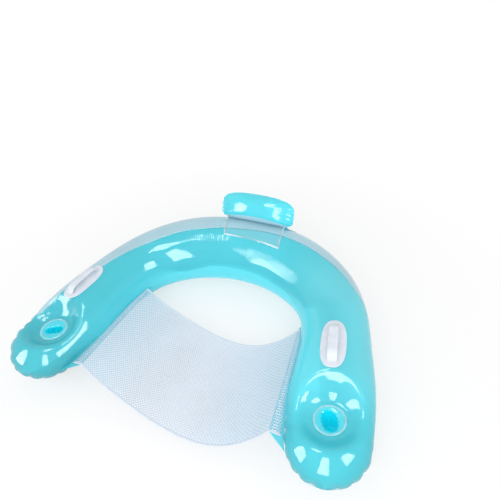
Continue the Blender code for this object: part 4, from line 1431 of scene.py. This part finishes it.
def build_valve(prefix, seat, lean=0):
    """A flange and soft web, a push-in stem, its check flap and a plug cap."""
    matrix = on_back(seat, lean, VALVE_SEAT_DROP)
    face = VALVE_SEAT_DROP + LIFT
    spigot = VALVE_SPIGOT_RADIUS - 0.0015
    flange = [(0.02, face), (0.02, face + 0.0005), (0.0195, face + 0.0009), (0.0178, face + 0.001),
              (0.0176, face + 0.0006), (0.0172, face + 0.0006), (0.017, face + 0.001),
              (0.0148, face + 0.0011),
              (spigot + 0.0004, face + 0.001), (spigot, face + 0.0006),
              (spigot, -0.004), (VALVE_SPIGOT_RADIUS, -0.004), (VALVE_SPIGOT_RADIUS, face)]
    web = []
    for i in range(WEB_RINGS + 1):
        radius = WEB_BORE + (spigot - WEB_GAP - WEB_BORE) * i / WEB_RINGS
        web.append((radius, 0.0003 + WEB_WAVE * math.sin(math.pi * 2.5 * i / WEB_RINGS)))
    web += [(radius, height - WEB_FILM) for radius, height in reversed(web)]
    stem = [(0.0043, -0.009), (0.0047, -0.009), (0.0062, -0.0086), (0.0065, -0.008), (0.0065, 0.0106),
            (0.0072, 0.0106), (0.0075, 0.0109), (0.0075, 0.0117), (0.0072, 0.012), (0.0046, 0.012),
            (0.0043, 0.0117)]
    flap = [(0, -0.0093), (0.0052, -0.0093), (0.0056, -0.0095), (0.0056, -0.0097), (0.0052, -0.0098),
            (0, -0.0098)]
    under, top = 0.0123, 0.0139
    cap = [(0, 0.0078), (0.0026, 0.0078), (0.003, 0.0082), (0.0038, 0.0118), (0.0039, under),
           (0.0076, under), (0.008, under + 0.0003), (0.008, top - 0.0004), (0.0076, top), (0.0058, top),
           (0.0054, top - 0.0004), (0.0012, top - 0.0005), (0, top - 0.0005)]
    clear = ("clear moulding", "clear_vinyl")
    white = ("white moulding", "white_vinyl")
    for kind, profile, steps, (look, slot), body, tongue in (
            ("flange", flange, 72, clear, "float", None),
            ("web", web, 72, clear, "float", None),
            ("stem", stem, 64, white, prefix + "_stem", (0.0108, 0.0118)),
            ("flap", flap, 48, clear, prefix + "_flap", None),
            ("cap", cap, 64, white, prefix + "_cap", (under + 0.0002, top - 0.0002))):
        mesh = turned(profile, steps, matrix)
        if tongue:
            join_tongue(mesh, *tongue, matrix)
        piece = add_piece("{}_air_{}".format(prefix, kind), mesh, look,
                          ["{}_valve_{}".format(prefix, kind)], body)
        piece.data.set_sharp_from_angle(angle=math.radians(VALVE_SHARP_ANGLE))


def soft_box(name, centre, target, width, height, strength):
    """A rectangular lamp that faces its target."""
    lamp = bpy.data.lights.new(name, "AREA")
    lamp.shape = "RECTANGLE"
    lamp.size, lamp.size_y = width, height
    lamp.energy = strength * math.pi * width * height
    item = bpy.data.objects.new(name, lamp)
    item.location = centre
    item.rotation_euler = (Vector(target) - Vector(centre)).to_track_quat("-Z", "Y").to_euler()
    bpy.context.scene.collection.objects.link(item)
    return item


def build_floor(colour):
    """A pale floor that shows white but for the object's shadow."""
    mesh = bmesh.new()
    bmesh.ops.create_circle(mesh, cap_ends=True, segments=96, radius=FLOOR_RADIUS)
    bmesh.ops.translate(mesh, verts=mesh.verts, vec=(0, 0, -FLOOR_DROP))
    data = bpy.data.meshes.new("floor")
    mesh.to_mesh(data)
    mesh.free()
    floor = bpy.data.objects.new("floor", data)
    bpy.context.scene.collection.objects.link(floor)
    paint = Finish("matt floor", roughness=0.9, specular_ior_level=0)
    paint.feed("Base Color", paint.clouded(colour, scale=1.5, low=0.995, high=1.005))
    parts = paint.add("SeparateXYZ", Vector=paint.place).outputs
    squares = paint.sum("ADD", paint.times(parts["X"], parts["X"]), paint.times(parts["Y"], parts["Y"]))
    reach = paint.range(paint.sum("SQRT", squares), *FLOOR_WHITE)
    paint.mix_shaders(paint.times(paint.seen(), reach), paint.shader, paint.add("Emission", Color=WHITE),
                      paint.tree.nodes["Material Output"])
    data.materials.append(paint.material)


def build_stage():
    """The floor, the even light from all round and the soft boxes."""
    looks = bpy.context.scene.pool_chair_stage
    build_floor(looks.floor)
    world = bpy.data.worlds.new("studio")
    bpy.context.scene.world = world
    world.use_nodes = True
    world.node_tree.nodes.clear()
    sky = Nodes(world.node_tree)
    sky.mix_shaders(sky.seen(), sky.add("Background", Color=WHITE, Strength=looks.fill),
                    sky.add("Background", Color=WHITE), sky.add("OutputWorld"))
    for name, (centre, target, width, height, share) in SOFT_BOXES.items():
        lamp = soft_box(name, centre, target, width, height, looks.box_strength * share)
        lamp.visible_diffuse = name == KEY_BOX
        lamp.visible_glossy = name != KEY_BOX
    bpy.context.scene.view_settings.view_transform = "Standard"


def build_camera():
    lens = bpy.data.cameras.new("camera")
    lens.sensor_fit = "AUTO"
    lens.sensor_width = SENSOR_WIDTH
    lens.lens = FOCAL_LENGTH
    camera = bpy.data.objects.new("camera", lens)
    matrix = Matrix((CAMERA_RIGHT, CAMERA_UP, CAMERA_BACK)).transposed().to_4x4()
    matrix.translation = CAMERA_PLACE
    camera.matrix_world = matrix
    bpy.context.scene.collection.objects.link(camera)
    bpy.context.scene.camera = camera


class POOLCHAIR_OT_stage(bpy.types.Operator):
    """Add the camera, the floor and the light"""
    bl_idname = "pool_chair.stage"
    bl_label = "Camera, floor and light"

    def execute(self, context):
        build_camera()
        build_stage()
        return {"FINISHED"}


class POOLCHAIR_OT_tube(bpy.types.Operator):
    """Add the two films of the air tube and their welds"""
    bl_idname = "pool_chair.tube"
    bl_label = "Air tube"

    def execute(self, context):
        build_films()
        build_tube_welds()
        return {"FINISHED"}


class POOLCHAIR_OT_cups(bpy.types.Operator):
    """Add the two cup wells with their rings"""
    bl_idname = "pool_chair.cups"
    bl_label = "Cup wells"

    def execute(self, context):
        for side in (-1, 1):
            build_cup(side)
        return {"FINISHED"}


class POOLCHAIR_OT_handles(bpy.types.Operator):
    """Add the two grab handles"""
    bl_idname = "pool_chair.handles"
    bl_label = "Handles"

    def execute(self, context):
        for side in (-1, 1):
            build_handle(side)
        return {"FINISHED"}


class POOLCHAIR_OT_pillow(bpy.types.Operator):
    """Add the air pillow and the two skirts that hold it"""
    bl_idname = "pool_chair.pillow"
    bl_label = "Pillow"

    def execute(self, context):
        build_pillow()
        build_skirt("pillow_front_skirt", -1, SKIRT_FRONT_WELD_ANGLE, SKIRT_FRONT_LEAVE_ANGLE,
                    "clear film")
        build_skirt("pillow_back_skirt", 1, SKIRT_BACK_WELD_ANGLE, SKIRT_BACK_LEAVE_ANGLE,
                    "cyan film")
        return {"FINISHED"}


class POOLCHAIR_OT_seat(bpy.types.Operator):
    """Add the mesh seat with its bindings and strips"""
    bl_idname = "pool_chair.seat"
    bl_label = "Mesh seat"

    def execute(self, context):
        build_seat()
        return {"FINISHED"}


class POOLCHAIR_OT_valves(bpy.types.Operator):
    """Add the two air valves"""
    bl_idname = "pool_chair.valves"
    bl_label = "Valves"

    def execute(self, context):
        build_valve("main", main_valve_seat())
        build_valve("pillow", pillow_valve_seat(), PILLOW_LEAN)
        return {"FINISHED"}


OPERATORS = (POOLCHAIR_OT_stage, POOLCHAIR_OT_tube, POOLCHAIR_OT_cups, POOLCHAIR_OT_handles,
             POOLCHAIR_OT_pillow, POOLCHAIR_OT_seat, POOLCHAIR_OT_valves)


class POOLCHAIR_PT_panel(bpy.types.Panel):
    """Lists the parts of the pool chair"""
    bl_label = "Pool chair"
    bl_idname = "POOLCHAIR_PT_panel"
    bl_space_type = "VIEW_3D"
    bl_region_type = "UI"
    bl_category = "Pool chair"

    def draw(self, context):
        for operator in OPERATORS:
            self.layout.operator(operator.bl_idname)


SETTINGS = {
    "pool_chair_films": FilmLooks,
    "pool_chair_pale_parts": WhitePartLooks,
    "pool_chair_cups": CupSizes,
    "pool_chair_handles": HandleSizes,
    "pool_chair_seat": SeatSizes,
    "pool_chair_stage": StageLooks,
}


def register():
    for name, group in SETTINGS.items():
        bpy.utils.register_class(group)
        setattr(bpy.types.Scene, name, bpy.props.PointerProperty(type=group))
    for item in (*OPERATORS, POOLCHAIR_PT_panel):
        bpy.utils.register_class(item)


def unregister():
    for item in (POOLCHAIR_PT_panel, *reversed(OPERATORS)):
        bpy.utils.unregister_class(item)
    for name, group in SETTINGS.items():
        delattr(bpy.types.Scene, name)
        bpy.utils.unregister_class(group)


def main():
    register()
    bpy.ops.pool_chair.stage()
    bpy.ops.pool_chair.tube()
    bpy.ops.pool_chair.cups()
    bpy.ops.pool_chair.handles()
    bpy.ops.pool_chair.pillow()
    bpy.ops.pool_chair.seat()
    bpy.ops.pool_chair.valves()


if __name__ == "__main__":
    main()
